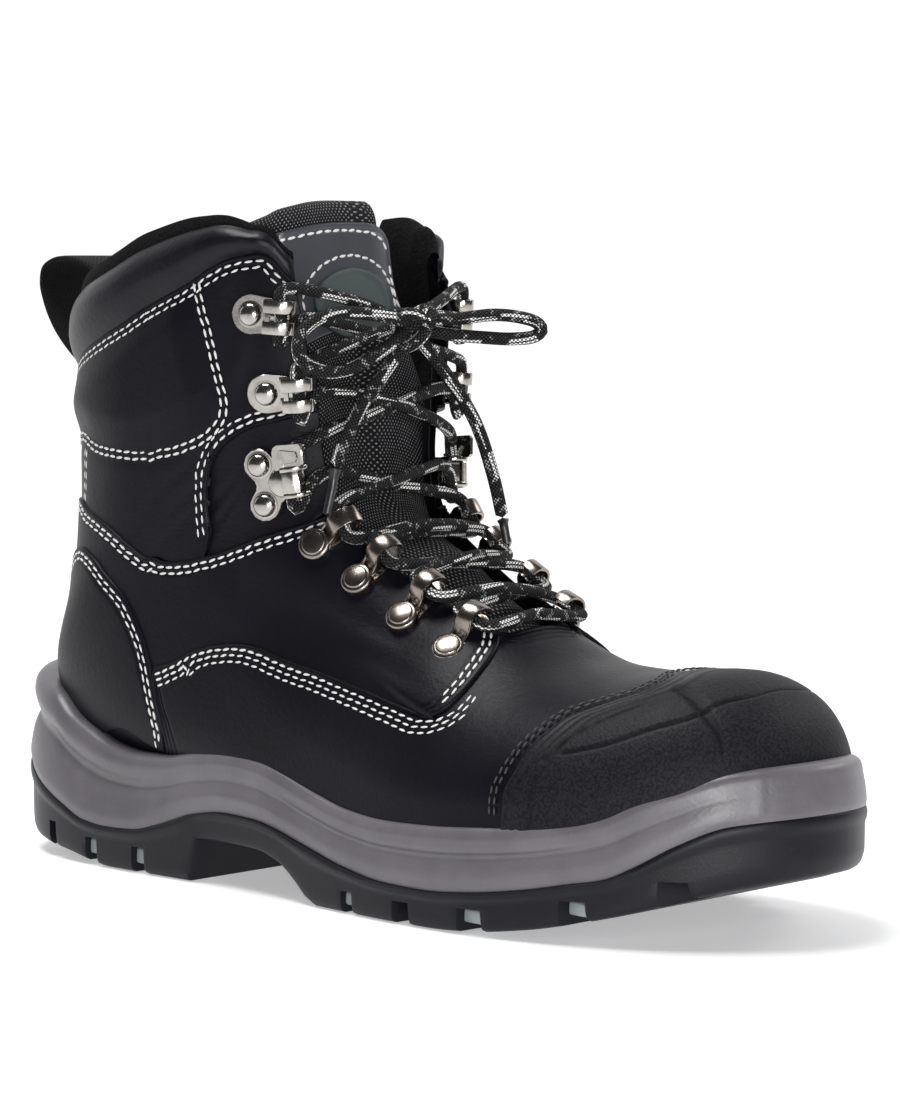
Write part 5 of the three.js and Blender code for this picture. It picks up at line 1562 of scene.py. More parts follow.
def strip(bm, path, width, thickness, matrix, v0=0.0, closed=False, segments=2):
    """A bent metal strip: path in u and n, width along v, rounded edges."""
    pts = np.array(path, float)
    if closed:
        pts = np.vstack([pts, pts[:1]])
    run = run_of(pts)
    steps = max(int(run[-1] / 0.9), 8)
    s = np.linspace(0, run[-1], steps + 1)
    slopes = np.gradient(pts, run, axis=0)
    if closed:
        slopes[0] = slopes[-1] = (pts[1] - pts[-2]) / (run[1] - run[0] + run[-1] - run[-2])
    line = np.stack([hermite(run, pts[:, k], slopes[:, k], False)(s) for k in (0, 1)], -1)
    tangent = unit(np.gradient(line, axis=0))
    if closed:
        tangent[0] = tangent[-1] = unit((line[1] - line[-2])[None])[0]
    side = np.stack([-tangent[:, 1], tangent[:, 0]], -1)
    h, w, r = thickness / 2, width / 2, min(thickness, width) * 0.28
    corner = [(-w + r, h), (w - r, h), (w - 0.3 * r, h - 0.3 * r), (w, h - r), (w, -h + r),
              (w - 0.3 * r, -h + 0.3 * r),
              (w - r, -h), (-w + r, -h), (-w + 0.3 * r, -h + 0.3 * r), (-w, -h + r), (-w, h - r),
              (-w + 0.3 * r, h - 0.3 * r)]
    rings = []
    for p, q in zip(line, side):
        rings.append([bm.verts.new(matrix @ Vector((p[0] + q[0] * b, v0 + a, p[1] + q[1] * b))) for a, b in corner])
    if closed:
        for v in rings[-1]:
            bm.verts.remove(v)
        rings[-1] = rings[0]
    made = []
    for first, second in zip(rings, rings[1:]):
        for i in range(len(corner)):
            j = (i + 1) % len(corner)
            made.append(bm.faces.new((first[i], first[j], second[j], second[i])))
    if not closed:
        made.append(bm.faces.new(rings[0][::-1]))
        made.append(bm.faces.new(rings[-1]))
    bmesh.ops.recalc_face_normals(bm, faces=made)
    return made


def turned(bm, profile, matrix, u=0.0, v=0.0, sides=28):
    """A round piece from radii and heights, spun about its own axis."""
    verts = [bm.verts.new((r, 0, h)) for r, h in profile]
    edges = [bm.edges.new(pair) for pair in zip(verts, verts[1:])]
    bmesh.ops.spin(bm, geom=verts + edges, cent=(0, 0, 0), axis=(0, 0, 1), angle=2 * math.pi, steps=sides,
                   use_merge=True)
    new = set(flood(verts[0]))
    bmesh.ops.remove_doubles(bm, verts=list(new), dist=1e-5)
    new = flood(next(w for w in bm.verts if w in new))
    place = matrix @ Matrix.Translation((u, v, 0))
    for w in new:
        w.co = place @ w.co
    faces = list({f for w in new for f in w.link_faces})
    bmesh.ops.recalc_face_normals(bm, faces=faces)


def flood(start):
    """All corners joined to a corner by edges."""
    seen, queue = {start}, [start]
    while queue:
        here = queue.pop()
        for edge in here.link_edges:
            other = edge.other_vert(here)
            if other not in seen:
                seen.add(other)
                queue.append(other)
    return list(seen)


def plate(bm, outline, low, high, matrix):
    """A flat plate from its outline in u and v, with softened edges."""
    soft = 0.22 * (high - low)
    pts = np.array(outline, float)
    centre = pts.mean(0)
    rings = []
    for inset, height in ((0, low), (0, high - soft), (soft, high)):
        pulled = pts - unit(pts - centre) * inset
        rings.append([bm.verts.new(matrix @ Vector((a, b, height))) for a, b in pulled])
    made = [bm.faces.new(rings[-1]), bm.faces.new(rings[0][::-1])]
    for first, second in zip(rings, rings[1:]):
        for i in range(len(pts)):
            j = (i + 1) % len(pts)
            made.append(bm.faces.new((first[i], first[j], second[j], second[i])))
    bmesh.ops.recalc_face_normals(bm, faces=made)


def capsule(u0, u1, r0, r1, v0=0.0, steps=12):
    """Outline of a plate with a round end of radius r0 at u0 and r1 at u1."""
    pts = []
    for k in range(steps + 1):
        a = math.pi / 2 + math.pi * k / steps
        pts.append((u0 + r0 * math.cos(a), v0 + r0 * math.sin(a)))
    for k in range(steps + 1):
        a = -math.pi / 2 + math.pi * k / steps
        pts.append((u1 + r1 * math.cos(a), v0 + r1 * math.sin(a)))
    return pts


FLAT_RIVET = [(0, 3.9), (3.2, 3.9), (3.5, 3.75), (3.7, 3.4), (4.3, 3.3), (4.75, 3.0), (4.95, 2.5), (4.95, 0.9)]
DOME_RIVET = [(0, 4.3), (1.4, 4.15), (2.5, 3.7), (3.2, 3.1), (3.45, 2.6), (3.5, 2.0), (4.1, 1.95), (4.25, 1.6)]


def build_rings():
    for side in (OUTER, INNER):
        for n, seat in enumerate(RING_SEATS):
            bm = bmesh.new()
            m = seat_matrix(seat, side)
            turned(bm, FLAT_RIVET, m)
            plate(bm, capsule(0, 11.6, 4.5, 3.0), 0.8, 1.7, m)
            saddle = [(4.9, 1.9), (5.9, 3.4), (6.9, 5.6), (8.6, 7.8), (11.2, 8.5), (14.0, 7.6), (15.9, 5.4),
                      (16.0, 3.4)]
            strip(bm, saddle, 5.4, 1.0, m)
            for v in (-2.5, 2.5):
                strip(bm, [(1.6, 2.0), (4.6, 2.7), (7.0, 4.7), (8.6, 7.4)], 0.9, 1.5, m, v0=v)
            plate(bm, capsule(8.0, 13.4, 2.4, 2.4), 0.8, 1.5, m)
            name = f"d_ring_{SIDE_NAMES[side]}_{n + 1}"
            finish(name + "_metal", bm, "gunmetal", (name,), crease=35)


def hook_prongs(bm, m, reach, height, spread, width):
    for v in (-spread, spread):
        path = [(4.2, 1.4), (8.0, 1.5), (reach - 3, 1.9), (reach - 0.9, 3.8), (reach - 0.9, height - 2.6),
                (reach - 3.2, height - 0.8), (reach - 7.2, height - 0.7), (reach - 8.6, height - 0.9)]
        strip(bm, path, width, 1.15, m, v0=v)


def build_hooks():
    for side in (OUTER, INNER):
        for n, seat in enumerate(HOOK_SEATS):
            bm = bmesh.new()
            m = seat_matrix(seat, side)
            plate(bm, capsule(0, 8.0, 5.9, 4.9), 0.9, 1.9, m)
            turned(bm, DOME_RIVET, m)
            hook_prongs(bm, m, 15.2, 9.4, 3.1, 3.9)
            strip(bm, [(5.0, 2.2), (8.0, 2.6), (10.0, 3.2), (11.5, 3.0)], 1.7, 1.0, m)
            strip(bm, [(7.2, 8.6), (8.6, 8.7)], 8.6, 1.0, m)
            name = f"speed_hook_{SIDE_NAMES[side]}_{n + 1}"
            finish(name + "_metal", bm, "nickel", (name,), crease=35)
        bm = bmesh.new()
        m = seat_matrix(LOCK_SEAT, side, 0.05)
        spread = 6.0
        for v in (-spread, spread):
            turned(bm, DOME_RIVET, m, 0, v)
        half = [(-1.9, 0), (-2.3, 1.6), (-3.6, 3.2), (-4.7, 5.0), (-4.8, 7.0), (-3.7, 9.3), (-1.6, 10.7),
                (0.8, 10.8),
                (3.0, 9.8), (4.4, 8.0), (5.4, 6.0), (7.4, 4.9), (10.6, 4.7)]
        plate(bm, half[::-1] + [(a, -b) for a, b in half[1:]], 0.8, 1.8, m)
        turned(bm, [(0, 3.9), (2.6, 3.7), (4.0, 3.2), (4.5, 2.4), (4.5, 1.6)], m, 6.9, 0.0)
        strip(bm, [(8.6, 1.8), (9.0, 3.6), (9.9, 4.3), (10.8, 3.9)], 9.2, 1.0, m)
        for v in (-3.9, 3.9):
            claw = [(10.4, 1.6), (13.2, 1.8), (15.4, 3.0), (16.0, 5.4), (15.0, 8.0), (11.8, 9.1), (9.4, 8.6)]
            strip(bm, claw, 1.5, 1.2, m, v0=v)
        for u in (12.0, 13.9):
            strip(bm, [(u, 1.6), (u + 0.2, 3.8), (u - 0.4, 6.4)], 7.2, 0.8, m)
        strip(bm, [(9.6, 8.3), (12.2, 9.0), (14.4, 8.2)], 7.6, 1.0, m)
        tab = [(0, -3.3), (0.5, -3.8), (10.6, -3.2), (11.4, -2.4), (11.6, 2.6), (10.9, 3.5), (2.2, 3.9),
               (0.7, 3.2), (0, 1.8)]
        slope = m @ Matrix.Translation((6.6, -side * 7.6, 5.2)) @ Matrix.Rotation(-0.3, 4, "Y")
        plate(bm, [(a, -side * b) for a, b in tab][::side * -1], 0.0, 1.3, slope)
        slot = [(2.2, -2.1), (8.6, -1.9), (9.8, -0.6), (9.4, 1.2), (3.6, 2.2), (2.4, 0.9)]
        plate(bm, [(a, -side * b) for a, b in slot][::side * -1], 1.2, 1.9, slope)
        strip(bm, [(6.9, 4.6), (8.4, 6.2), (10.4, 7.4)], 2.2, 1.2, m, v0=-side * 5.2)
        name = f"lock_hook_{SIDE_NAMES[side]}"
        finish(name + "_metal", bm, "nickel", (name,), crease=35)


# Laces
def spline(points, samples):
    """Centripetal curve through points."""
    p = np.array(points, float)
    p = np.vstack([2 * p[0] - p[1], p, 2 * p[-1] - p[-2]])
    result = []
    for i in range(1, len(p) - 2):
        near = list(p[i - 1:i + 3])
        steps = [max(np.linalg.norm(b - a) ** 0.5, 1e-4) for a, b in zip(near, near[1:])]
        knots = np.concatenate([[0.0], np.cumsum(steps)])
        t = np.linspace(knots[1], knots[2], samples, endpoint=i == len(p) - 3)[:, None]
        for spans in (((0, 1), (1, 2), (2, 3)), ((0, 2), (1, 3)), ((1, 2),)):
            near = [((knots[b] - t) * near[j] + (t - knots[a]) * near[j + 1]) / (knots[b] - knots[a])
                    for j, (a, b) in enumerate(spans)]
        result.append(near[0])
    return np.vstack(result)


def evenly(line, step):
    run = run_of(line)
    count = max(int(run[-1] / step), 4)
    at = np.linspace(0, run[-1], count + 1)
    return np.stack([np.interp(at, run, line[:, k]) for k in range(3)], -1), run[-1]


def tube(points, radius, sides=12, step=1.1, flat=1.0, taper=None):
    """A braided tube along a smooth curve, its UV the turn and the millimetres along."""
    line, length = evenly(spline(points, 24), step)
    count = len(line) - 1
    tangent = unit(np.gradient(line, axis=0))
    normal = np.zeros_like(line)
    start = np.cross(tangent[0], [0.3, 0.2, 1.0])
    normal[0] = unit(start[None])[0]
    for i in range(1, len(line)):
        carried = normal[i - 1] - tangent[i] * (normal[i - 1] @ tangent[i])
        normal[i] = unit(carried[None])[0]
    binormal = np.cross(tangent, normal)

    def place(u, v):
        i = np.rint(v * count).astype(int)
        a = 2 * math.pi * u
        size = radius * (np.ones_like(v) if taper is None else taper(v))
        inner = np.where((v <= 0) | (v >= 1), 0.02, 1.0)
        offset = normal[i] * (np.cos(a) * size * inner)[:, None]
        offset = offset + binormal[i] * (np.sin(a) * size * flat * inner)[:, None]
        return line[i] + offset, {"uv": np.stack([u, v * length], -1)}
    bm = mapped_grid(sides, count, place)
    bmesh.ops.remove_doubles(bm, verts=bm.verts, dist=1e-8)
    bmesh.ops.recalc_face_normals(bm, faces=bm.faces)
    return bm, line, length


KNOT = np.array([0.5016 * SOLE_LENGTH, -3.0, 0.8155 * BOOT_HEIGHT])
RING_EYE = (10.6, 5.0)
HOOK_EYE = (10.8, 5.2)
ANKLE = 13
EDGE_OUT, EDGE_BACK, EDGE_LIFT = 0.16, 0.68, 1.55


def eye_points(seat, side, eye, half):
    point, u, v, n = seat_frame(seat, side)
    places = [point + u * eye[0] + v * k + n * eye[1] for k in (-half, 0, half)]
    if places[0][2] > places[2][2]:
        places.reverse()
    return places


def edge_point(station, side):
    height = size_of("lace_radius") + EDGE_LIFT
    degrees = side * (float(throat_rows(station)) + 1)
    return skin(np.array(station), np.array(degrees), np.array(height))


def crossing_route(start):
    eyes = [(seat, RING_EYE, 5.0) for seat in RING_SEATS]
    eyes.append((LOCK_SEAT, (HOOK_EYE[0], HOOK_EYE[1] + 0.05), 8.0))
    eyes += [(seat, (HOOK_EYE[0], HOOK_EYE[1] + 0.4), 7.9) for seat in HOOK_SEATS]
    side = start
    low = [eye_points(RING_SEATS[0], s, RING_EYE, 5.0)[0] for s in (OUTER, INNER)]
    route = [(low[0] + low[1]) / 2 + np.array([1.5, 0, 2])]
    for i, (seat, eye, half) in enumerate(eyes):
        passing = eye_points(seat, side, eye, half)
        if i:
            before = eyes[i - 1][0][0]
            out = edge_point(before + EDGE_OUT * (seat[0] - before), -side) if before > ANKLE else None
            back = edge_point(before + EDGE_BACK * (seat[0] - before), side) if seat[0] > ANKLE else None
            if out is not None:
                route.append(out)
            middle = (route[-1] + (back if back is not None else passing[0])) / 2
            route.append(middle + np.array([2.2 + 1.2 * start, 0, 2.0 + 1.0 * start]))
            if back is not None:
                route.append(back)
        route += passing
        side = -side
    route.append(np.array([149.5, start * 20 - 1, 175.0]))
    route.append(KNOT.copy())
    return route


LOOPS = {
    "outer": [(156.5, -3, 168.5), (158.9, -7.6, 169), (155.2, -19, 171), (150, -31.5, 171), (146.5, -39.5, 165.5),
              (147, -40.5, 158.5), (150.5, -34.5, 154.5), (153, -26, 155), (156, -17, 159.5),
              (158.0, -8, 165.0),
              (156.8, -3.5, 167)],
    "inner": [(157.5, -2, 168.5), (159, 1, 169), (167, 5.5, 169.5), (175.5, 13, 170.7), (181.5, 18.3, 169.9),
              (185.0, 21.4, 168.3), (186.0, 22.3, 166.3), (184.4, 21.0, 164.4), (179.5, 16.6, 163.6),
              (173, 11, 164), (164.5, 4, 165), (159, -0.5, 166.5),
              (157.5, -2.5, 167.2)],
}
ENDS = {
    "outer": [(157.5, -4.5, 165.5), (157, -6.5, 162), (154.5, -14, 152), (154, -23, 142.5), (154, -29.5, 133),
              (153.5, -32.5, 126.5)],
    "inner": [(158, -2, 166), (158.5, -1, 163.5), (165, 4, 152.5), (171, 9.5, 139), (175, 13, 123), (177, 15, 110.5)],
}
TIPS = {
    "outer": [(153.5, -32.5, 126.5), (153.2, -33.7, 120), (152.6, -35.4, 112.5)],
    "inner": [(177, 15, 110.5), (177.5, 15.5, 106.5), (178, 16, 102.5)],
}


def build_laces():
    lace = size_of("lace_radius")
    bm = bmesh.new()
    for start in (OUTER, INNER):
        strand, _, _ = tube(crossing_route(start), lace, flat=0.92)
        join_into(bm, strand)
    finish("lace_bars", bm, "lace", ("lace_crossings",), crease=80)

    bm = bmesh.new()
    for tilt, radius, shift in ((0.5, 5.2, (0.6, 0.6, 0.4)), (-0.55, 5.8, (1.6, -1.4, -0.4)),
                                (1.35, 5.6, (2.0, 0.2, -1.2))):
        ring = []
        for k in range(13):
            a = 2 * math.pi * k / 12
            spot = np.array([math.cos(a) * radius * 0.85, math.sin(a) * radius * 0.75,
                             math.sin(a) * radius * math.sin(tilt)])
            spot[2] += math.cos(a) * radius * 0.35 * math.cos(tilt)
            ring.append(KNOT + np.array(shift) + spot)
        loop, _, _ = tube(ring, lace)
        join_into(bm, loop)
    finish("lace_bow_knot", bm, "lace", ("lace_knot",), crease=80)
    for side in ("outer", "inner"):
        bm, line, length = tube(LOOPS[side], lace)
        loop = finish(f"lace_bow_{side}", bm, "lace", (f"lace_loop_{side}",), crease=80)
        length * MM
        bm, line, length = tube(ENDS[side], lace)
        end = finish(f"lace_free_{side}", bm, "lace", (f"lace_end_{side}",), crease=80)
        tip_bm, _, _ = tube(TIPS[side], 1.5, step=0.6, taper=lambda v: 1.3 - 0.42 * smooth(v, 0.0, 0.3))
        tip = finish(f"lace_tip_film_{side}", tip_bm, "tip", (f"lace_tip_{side}",), crease=60)
        length * MM


# Pull loop and zip
def build_pull_loop():
    line = [
        (27, 152), (19, 158), (11.5, 165.5), (6.6, 173.5), (4.6, 180), (5.6, 184.6), (9.5, 186.9), (16, 187.6),
        (24, 186.4), (30, 183.5), (34, 178), (35, 170),
    ]
    pts = np.array(line, float)
    run = run_of(pts)
    x_of, z_of = (hermite(run, pts[:, k], np.gradient(pts[:, k], run), False) for k in (0, 1))
    width, thick = size_of("loop_width"), size_of("loop_thickness")

    def place(u, v):
        s = run[-1] * v
        x, z = x_of(s), z_of(s)
        dx, dz = x_of(s + 0.2) - x_of(s - 0.2), z_of(s + 0.2) - z_of(s - 0.2)
        size = np.hypot(dx, dz)
        nx, nz = dz / size, -dx / size
        angle = 2 * math.pi * u
        c, q = np.cos(angle), np.sin(angle)
        w = np.sign(c) * np.abs(c) ** 0.25 * width / 2
        h = np.sign(q) * np.abs(q) ** 0.6 * thick / 2
        w = w * (1 - 0.05 * bump(v, 0.5, 0.2))
        uv = np.stack([w, s], -1)
        return np.stack([x + nx * h, w, z + nz * h], -1), {"uv": uv}
    bm = mapped_grid(48, 110, place, wrap=True)
    bmesh.ops.recalc_face_normals(bm, faces=bm.faces)
    finish("pull_loop_tape", bm, "tape", ("pull_loop",), crease=75)


def build_zip():
    z_low, z_high = ZIP_FOOT[1] - 1.0, 186.0

    zs = np.linspace(z_low, z_high, 60)
    ts, ds = {}, {}
    for offset in (-7.4, -3.7, 0.0, 3.7, 7.4):
        ts[offset], ds[offset] = find_on_inner(zip_x(zs) + offset, zs)
    offsets = np.array(sorted(ts))
    t_grid = np.array([ts[o] for o in offsets])
    d_grid = np.array([ds[o] for o in offsets])

    def on_lane(offset, z, height):
        row = np.clip((z - z_low) / (z_high - z_low), 0, 1) * (len(zs) - 1)
        col = np.clip((offset - offsets[0]) / (offsets[1] - offsets[0]), 0, len(offsets) - 1)
        i, j = np.minimum(col.astype(int), len(offsets) - 2), np.minimum(row.astype(int), len(zs) - 2)
        a, b = col - i, row - j

        def pick(grid):
            low = grid[i, j] * (1 - b) + grid[i, j + 1] * b
            high = grid[i + 1, j] * (1 - b) + grid[i + 1, j + 1] * b
            return low * (1 - a) + high * a
        return skin(pick(t_grid), pick(d_grid), height)

    def tape(u, v):
        offset = 14.8 * (u - 0.5)
        z = z_low + (z_high - z_low) * v
        height = 0.75 - 0.9 * bump(np.abs(offset), 0, 0.5) + 0.3 * bump(np.abs(offset), 4.4, 0.5)
        return on_lane(offset, z, height), {"uv": np.stack([offset, z], -1)}
    bm = mapped_grid(48, 120, tape, facing=lambda p: Vector((0, 1, 0)))
    finish("zip_tape_woven", bm, "tape", ("zip_tape",), crease=75, solidify=0.5)

    bm = bmesh.new()
    z = 80.0
    n = 0
    while z < 170.0:
        side = -1 if n % 2 else 1
        spot = on_lane(np.array([side * 0.9]), np.array([z]), np.array([1.75]))[0]
        made = bmesh.ops.create_cube(bm, size=1.0, matrix=box_at(spot, (3.6, 1.5, 1.15)))
        soften_edges(bm, made["verts"], 0.28, 1)
        z += 0.95
        n += 1
    finish("zip_teeth_chain", bm, "gunmetal", ("zip_teeth",), crease=35)

    low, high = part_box("zip_slider")
    centre = (low + high) / 2
    bm = bmesh.new()
    place = Matrix.Translation((centre.x, low.y + 1.3 * MM, centre.z))
    body = place @ Matrix.Diagonal((8.4 * MM, 2.6 * MM, 11 * MM, 1))
    made = bmesh.ops.create_cube(bm, size=1.0, matrix=body)
    for w in made["verts"]:
        if w.co.z < centre.z:
            w.co.x = centre.x + (w.co.x - centre.x) * 0.72
    soften_edges(bm, made["verts"], 0.7, 3)
    hinge = Vector((-64.598 * MM, 53.663 * MM, 176.743 * MM))
    for x in (-1, 1):
        at = Vector((hinge.x + x * 2.0 * MM, (low.y + 2.2 * MM + hinge.y + 0.8 * MM) / 2, hinge.z))
        tall = hinge.y + 0.8 * MM - low.y - 2.2 * MM
        matrix = Matrix.Translation(at) @ Matrix.Diagonal((1.0 * MM, tall, 2.4 * MM, 1))
        made = bmesh.ops.create_cube(bm, size=1.0, matrix=matrix)
        soften_edges(bm, made["verts"], 0.3, 2)
    pin = Matrix.Translation(hinge) @ Matrix.Rotation(math.pi / 2, 4, "Y")
    bmesh.ops.create_cone(bm, cap_ends=True, segments=16, radius1=0.8 * MM, radius2=0.8 * MM,
                          depth=4.6 * MM, matrix=pin)
    finish("zip_slider_body", bm, "gunmetal", ("zip_slider",), crease=35)

    bm = bmesh.new()
    ring = [(math.cos(a) * 1.55, math.sin(a) * 1.55) for a in np.linspace(0, 2 * math.pi, 13)[:-1]]
    around_pin = Matrix(((0, 1, 0, 0), (0, 0, 1, 0), (1, 0, 0, 0), (0, 0, 0, 1)))
    m = Matrix.Translation(hinge) @ around_pin @ Matrix.Scale(MM, 4)
    strip(bm, ring, 2.3, 0.8, m, closed=True)
    hanging = Matrix(((1, 0, 0, 0), (0, 0, 1, 0), (0, -1, 0, 0), (0, 0, 0, 1)))
    blade = Matrix.Translation(hinge) @ hanging @ Matrix.Scale(MM, 4)
    outline = [(-1.2, 1.8), (1.2, 1.8), (1.8, 4.5), (3.4, 7.5), (3.5, 25.5), (2.4, 27.8), (-2.4, 27.8),
               (-3.5, 25.5),
               (-3.4, 7.5), (-1.8, 4.5)]
    plate(bm, outline, -0.65, 0.65, blade)
    finish("zip_pull_tab", bm, "gunmetal", ("zip_pull",), crease=35, body="zip_tab")


def build_insole():
    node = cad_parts["insole"]
    node.data.materials.clear()
    node.data.materials.append(PAINTS["insole"])


# Stage
def aim(obj, target):
    direction = Vector(target) - obj.location
    obj.rotation_euler = direction.to_track_quat("-Z", "Y").to_euler()


def area_light(name, place, target, size, power):
    data = bpy.data.lights.new(name, "AREA")
    data.shape = "RECTANGLE"
    data.size, data.size_y = size
    data.energy = power
    light = bpy.data.objects.new(name, data)
    light.location = place
    bpy.context.scene.collection.objects.link(light)
    aim(light, target)


def build_stage(s):
    azimuth = math.radians(42.065)
    behind = Vector((-math.sin(azimuth), math.cos(azimuth), 0))

    def sweep(u, v):
        run = 9.0 * v - 3.0
        back = np.clip(run - 1.6, 0, None)
        bend = np.clip(back / 0.9, 0, math.pi / 2)
        out = np.where(run < 1.6, run, 1.6 + 0.9 * np.sin(bend))
        rise = 0.9 * (1 - np.cos(bend)) + np.clip(back - 0.9 * math.pi / 2, 0, None)
        side = 9.0 * (u - 0.5)
        points = np.stack([behind.x * out + behind.y * side, behind.y * out - behind.x * side, rise], -1)
        points[:, 2] += float(CAD_BOX[0][2]) - 0.0002
        return points / MM - TO_FRAME
    bm = mapped_grid(2, 240, sweep, facing=lambda place: Vector((0, 0, 1)) - behind)
    mesh = bpy.data.meshes.new("studio_sweep")
    for face in bm.faces:
        face.smooth = True
    bm.to_mesh(mesh)
    bm.free()
    mesh.materials.append(floor_paint())
    floor = bpy.data.objects.new("studio_sweep", mesh)
    bpy.context.scene.collection.objects.link(floor)

    world = bpy.data.worlds.new("studio")
    bpy.context.scene.world = world
    world.use_nodes = True
    back = world.node_tree.nodes["Background"]
    back.inputs["Color"].default_value = (1, 1, 1, 1)
    back.inputs["Strength"].default_value = s.world_light

    area_light("overhead", (-0.22, -0.16, 1.2), (-0.02, 0, 0.08), (0.62, 0.62), s.key_light)
    area_light("left_front", (-1.25, -0.5, 0.6), (-0.05, 0, 0.1), (0.35, 0.8), s.key_light * 0.06)
    area_light("right_front", (1.35, -0.6, 0.4), (0.1, 0, 0.05), (0.3, 0.6), s.key_light * 0.4)
    area_light("front_low", (1.1, -1.08, 0.15), (0.1, 0, 0.03), (0.32, 0.22), s.key_light * 0.72)
    area_light("behind_right", (0.6, 1.1, 0.9), (0.05, 0, 0.1), (0.8, 0.5), s.key_light * 0.35)

    # The photograph's viewpoint, solved from the boot's own proportions.
    height, distance, yaw, pitch = 184.9, 1161.0, -0.495, 4.159
    place = (SOLE_LENGTH / 2 + distance * math.sin(azimuth), -distance * math.cos(azimuth), height)
    data = bpy.data.cameras.new("photo_camera")
    data.sensor_width = 36.0
    data.sensor_fit = "AUTO"
    data.lens = 3901.5 * 36.0 / 1101.0
    data.clip_start, data.clip_end = 0.01, 50
    camera = bpy.data.objects.new("photo_camera", data)
    camera.location = in_frame(place)
    camera.rotation_euler = (math.radians(90 - pitch), 0, azimuth + math.radians(yaw))
    bpy.context.scene.collection.objects.link(camera)
    bpy.context.scene.camera = camera
    bpy.context.scene.view_settings.view_transform = "Standard"


# Add-on
def colour(name, about, value):
    return bpy.props.FloatVectorProperty(
        name=name, description=about, default=value, size=3, min=0, max=1, subtype="COLOR")


class BootFinish(bpy.types.PropertyGroup):
    leather: colour("Leather", "Colour of the smooth leather", (0.0034, 0.0032, 0.0056))
    bumper: colour("Toe bumper", "Colour of the toe bumper", (0.0055, 0.0055, 0.008))
    midsole: colour("Midsole", "Colour of the foam midsole", (0.104, 0.096, 0.107))
    outsole: colour("Outsole", "Colour of the rubber outsole", (0.0036, 0.0037, 0.0062))
    thread: colour("Thread", "Colour of the visible stitches", (0.82, 0.82, 0.8))
    lace: colour("Lace", "Ground colour of the laces", (0.0025, 0.0025, 0.003))
    # Pale colour of the laces' tracer flecks, also used for the painted glints on the braid's crowns.
    fleck: colour("Fleck", "Colour of the flecks in the laces", (0.95, 0.95, 0.93))
    badge: colour("Badge", "Colour of the bare oval on the tongue", (0.045, 0.062, 0.062))


def length(name, about, millimetres):
    return bpy.props.FloatProperty(
        name=name, description=about, default=millimetres * MM, min=0, precision=5, unit="LENGTH",
        subtype="DISTANCE")


class BootSizes(bpy.types.PropertyGroup):
    stitch_pitch: length("Stitch pitch", "From one stitch to the next", 3.5)
    pad_fullness: length("Pad fullness", "How far the padded panel stands out", 2.3)
    lace_radius: length("Lace radius", "Half the lace's thickness", 1.95)
    loop_width: length("Pull loop width", "Width of the pull loop's tape", 25.0)
    loop_thickness: length("Pull loop thickness", "Thickness of the pull loop's tape", 1.9)


class BootStage(bpy.types.PropertyGroup):
    world_light: bpy.props.FloatProperty(
        name="World", description="Strength of the white surround", default=0.05, min=0)
    key_light: bpy.props.FloatProperty(
        name="Key", description="Power of the overhead light", default=15.0, min=0, unit="POWER")


class BOOT_OT_stage(bpy.types.Operator):
    """Floor, lights and the photograph's camera"""
    bl_idname = "boot.stage"
    bl_label = "Stage"

    def execute(self, context):
        build_stage(context.scene.boot_stage)
        return {"FINISHED"}


class BOOT_OT_finishes(bpy.types.Operator):
    """All materials"""
    bl_idname = "boot.finishes"
    bl_label = "Finishes"

    def execute(self, context):
        mix_paints(context.scene.boot_finish)
        return {"FINISHED"}


class BOOT_OT_leather(bpy.types.Operator):
    """Shaft, windows, quarter, vamp and heel counter"""
    bl_idname = "boot.leather"
    bl_label = "Leather panels"

    def execute(self, context):
        build_shaft()
        build_window_floor()
        build_quarter()
        build_vamp()
        build_counter()
        return {"FINISHED"}


class BOOT_OT_toe_cap(bpy.types.Operator):
    """Moulded bumper over the toe"""
    bl_idname = "boot.toe_cap"
    bl_label = "Toe bumper"

    def execute(self, context):
        build_toe_cap()
        return {"FINISHED"}


class BOOT_OT_inside(bpy.types.Operator):
    """Cloth inside the boot and the foot bed's finish"""
    bl_idname = "boot.inside"
    bl_label = "Inside"

    def execute(self, context):
        build_lining()
        build_insole()
        return {"FINISHED"}


class BOOT_OT_collar(bpy.types.Operator):
    """Padded collar rolls and their lining"""
    bl_idname = "boot.collar"
    bl_label = "Collar"

    def execute(self, context):
        build_collar()
        return {"FINISHED"}


class BOOT_OT_tongue(bpy.types.Operator):
    """Tongue, patch and bare badge"""
    bl_idname = "boot.tongue"
    bl_label = "Tongue"

    def execute(self, context):
        build_tongue()
        return {"FINISHED"}


class BOOT_OT_sole(bpy.types.Operator):
    """Grey foam midsole and cleated rubber outsole"""
    bl_idname = "boot.sole"
    bl_label = "Sole"

    def execute(self, context):
        build_midsole()
        build_outsole()
        return {"FINISHED"}


class BOOT_OT_stitches(bpy.types.Operator):
    """Thread along every seam"""
    bl_idname = "boot.stitches"
    bl_label = "Stitches"

    def execute(self, context):
        build_stitches()
        return {"FINISHED"}


class BOOT_OT_hardware(bpy.types.Operator):
    """D-rings, speed hooks and locking hooks"""
    bl_idname = "boot.hardware"
    bl_label = "Rings and hooks"

    def execute(self, context):
        build_rings()
        build_hooks()
        return {"FINISHED"}


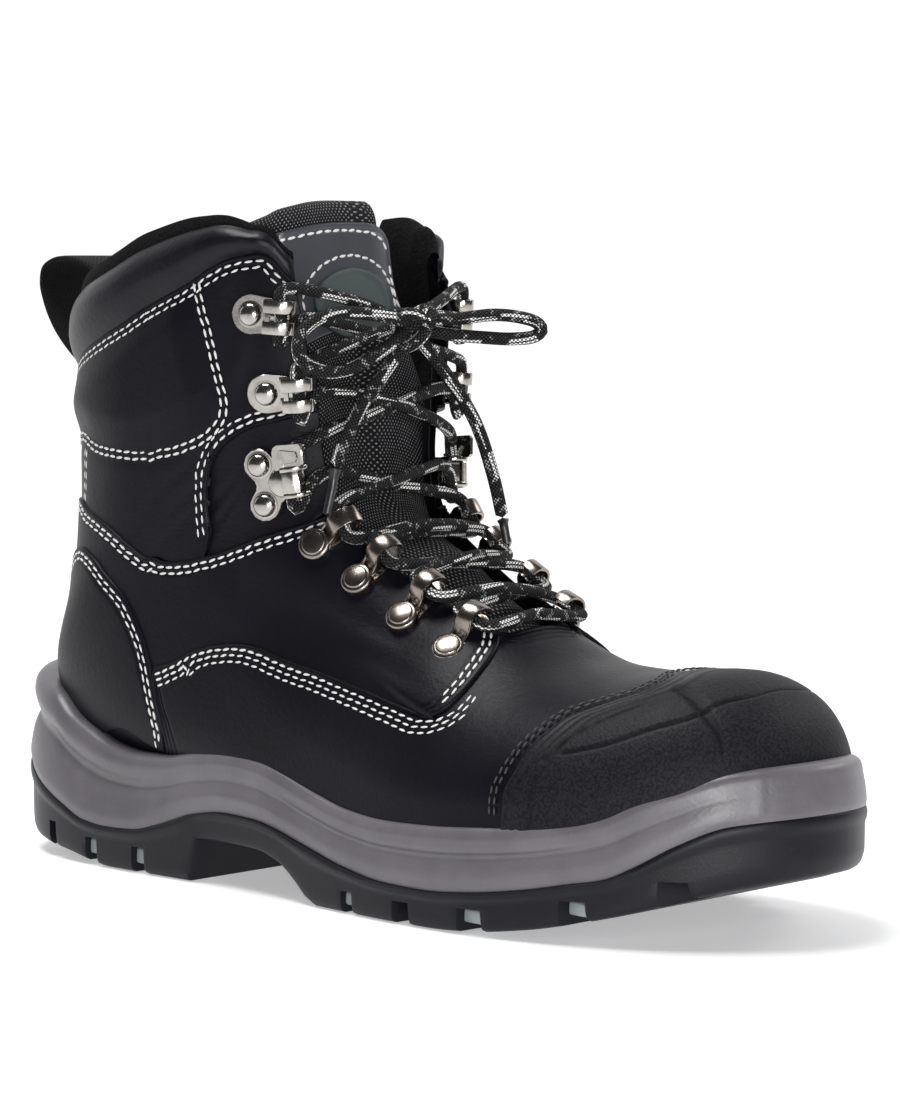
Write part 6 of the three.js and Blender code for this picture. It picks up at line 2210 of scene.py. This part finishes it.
class BOOT_OT_laces(bpy.types.Operator):
    """Crossings, bow, free ends and tips"""
    bl_idname = "boot.laces"
    bl_label = "Laces"

    def execute(self, context):
        build_laces()
        return {"FINISHED"}


class BOOT_OT_pull_loop(bpy.types.Operator):
    """Tape loop at the heel"""
    bl_idname = "boot.pull_loop"
    bl_label = "Pull loop"

    def execute(self, context):
        build_pull_loop()
        return {"FINISHED"}


class BOOT_OT_zip(bpy.types.Operator):
    """Tape, teeth, slider and pull tab"""
    bl_idname = "boot.zip"
    bl_label = "Zip"

    def execute(self, context):
        build_zip()
        return {"FINISHED"}


OPERATORS = [
    BOOT_OT_stage, BOOT_OT_finishes, BOOT_OT_leather, BOOT_OT_toe_cap, BOOT_OT_inside, BOOT_OT_collar,
    BOOT_OT_tongue, BOOT_OT_sole, BOOT_OT_stitches, BOOT_OT_hardware, BOOT_OT_laces, BOOT_OT_pull_loop,
    BOOT_OT_zip,
]


class BOOT_PT_panel(bpy.types.Panel):
    """Lists the boot's pieces."""
    bl_label = "Zip safety boot"
    bl_space_type = "VIEW_3D"
    bl_region_type = "UI"
    bl_category = "Boot"

    def draw(self, context):
        for item in OPERATORS:
            self.layout.operator(item.bl_idname)
        scene = context.scene
        for group in (scene.boot_sizes, scene.boot_finish, scene.boot_stage):
            for key in group.__annotations__:
                self.layout.prop(group, key)


CLASSES = [BootSizes, BootFinish, BootStage, *OPERATORS, BOOT_PT_panel]


def register():
    for item in CLASSES:
        bpy.utils.register_class(item)
    bpy.types.Scene.boot_sizes = bpy.props.PointerProperty(type=BootSizes)
    bpy.types.Scene.boot_finish = bpy.props.PointerProperty(type=BootFinish)
    bpy.types.Scene.boot_stage = bpy.props.PointerProperty(type=BootStage)


def unregister():
    del bpy.types.Scene.boot_sizes
    del bpy.types.Scene.boot_finish
    del bpy.types.Scene.boot_stage
    for item in reversed(CLASSES):
        bpy.utils.unregister_class(item)


def main():
    register()
    for item in OPERATORS:
        getattr(bpy.ops.boot, item.bl_idname.split(".")[1])()


if __name__ == "__main__":
    main()
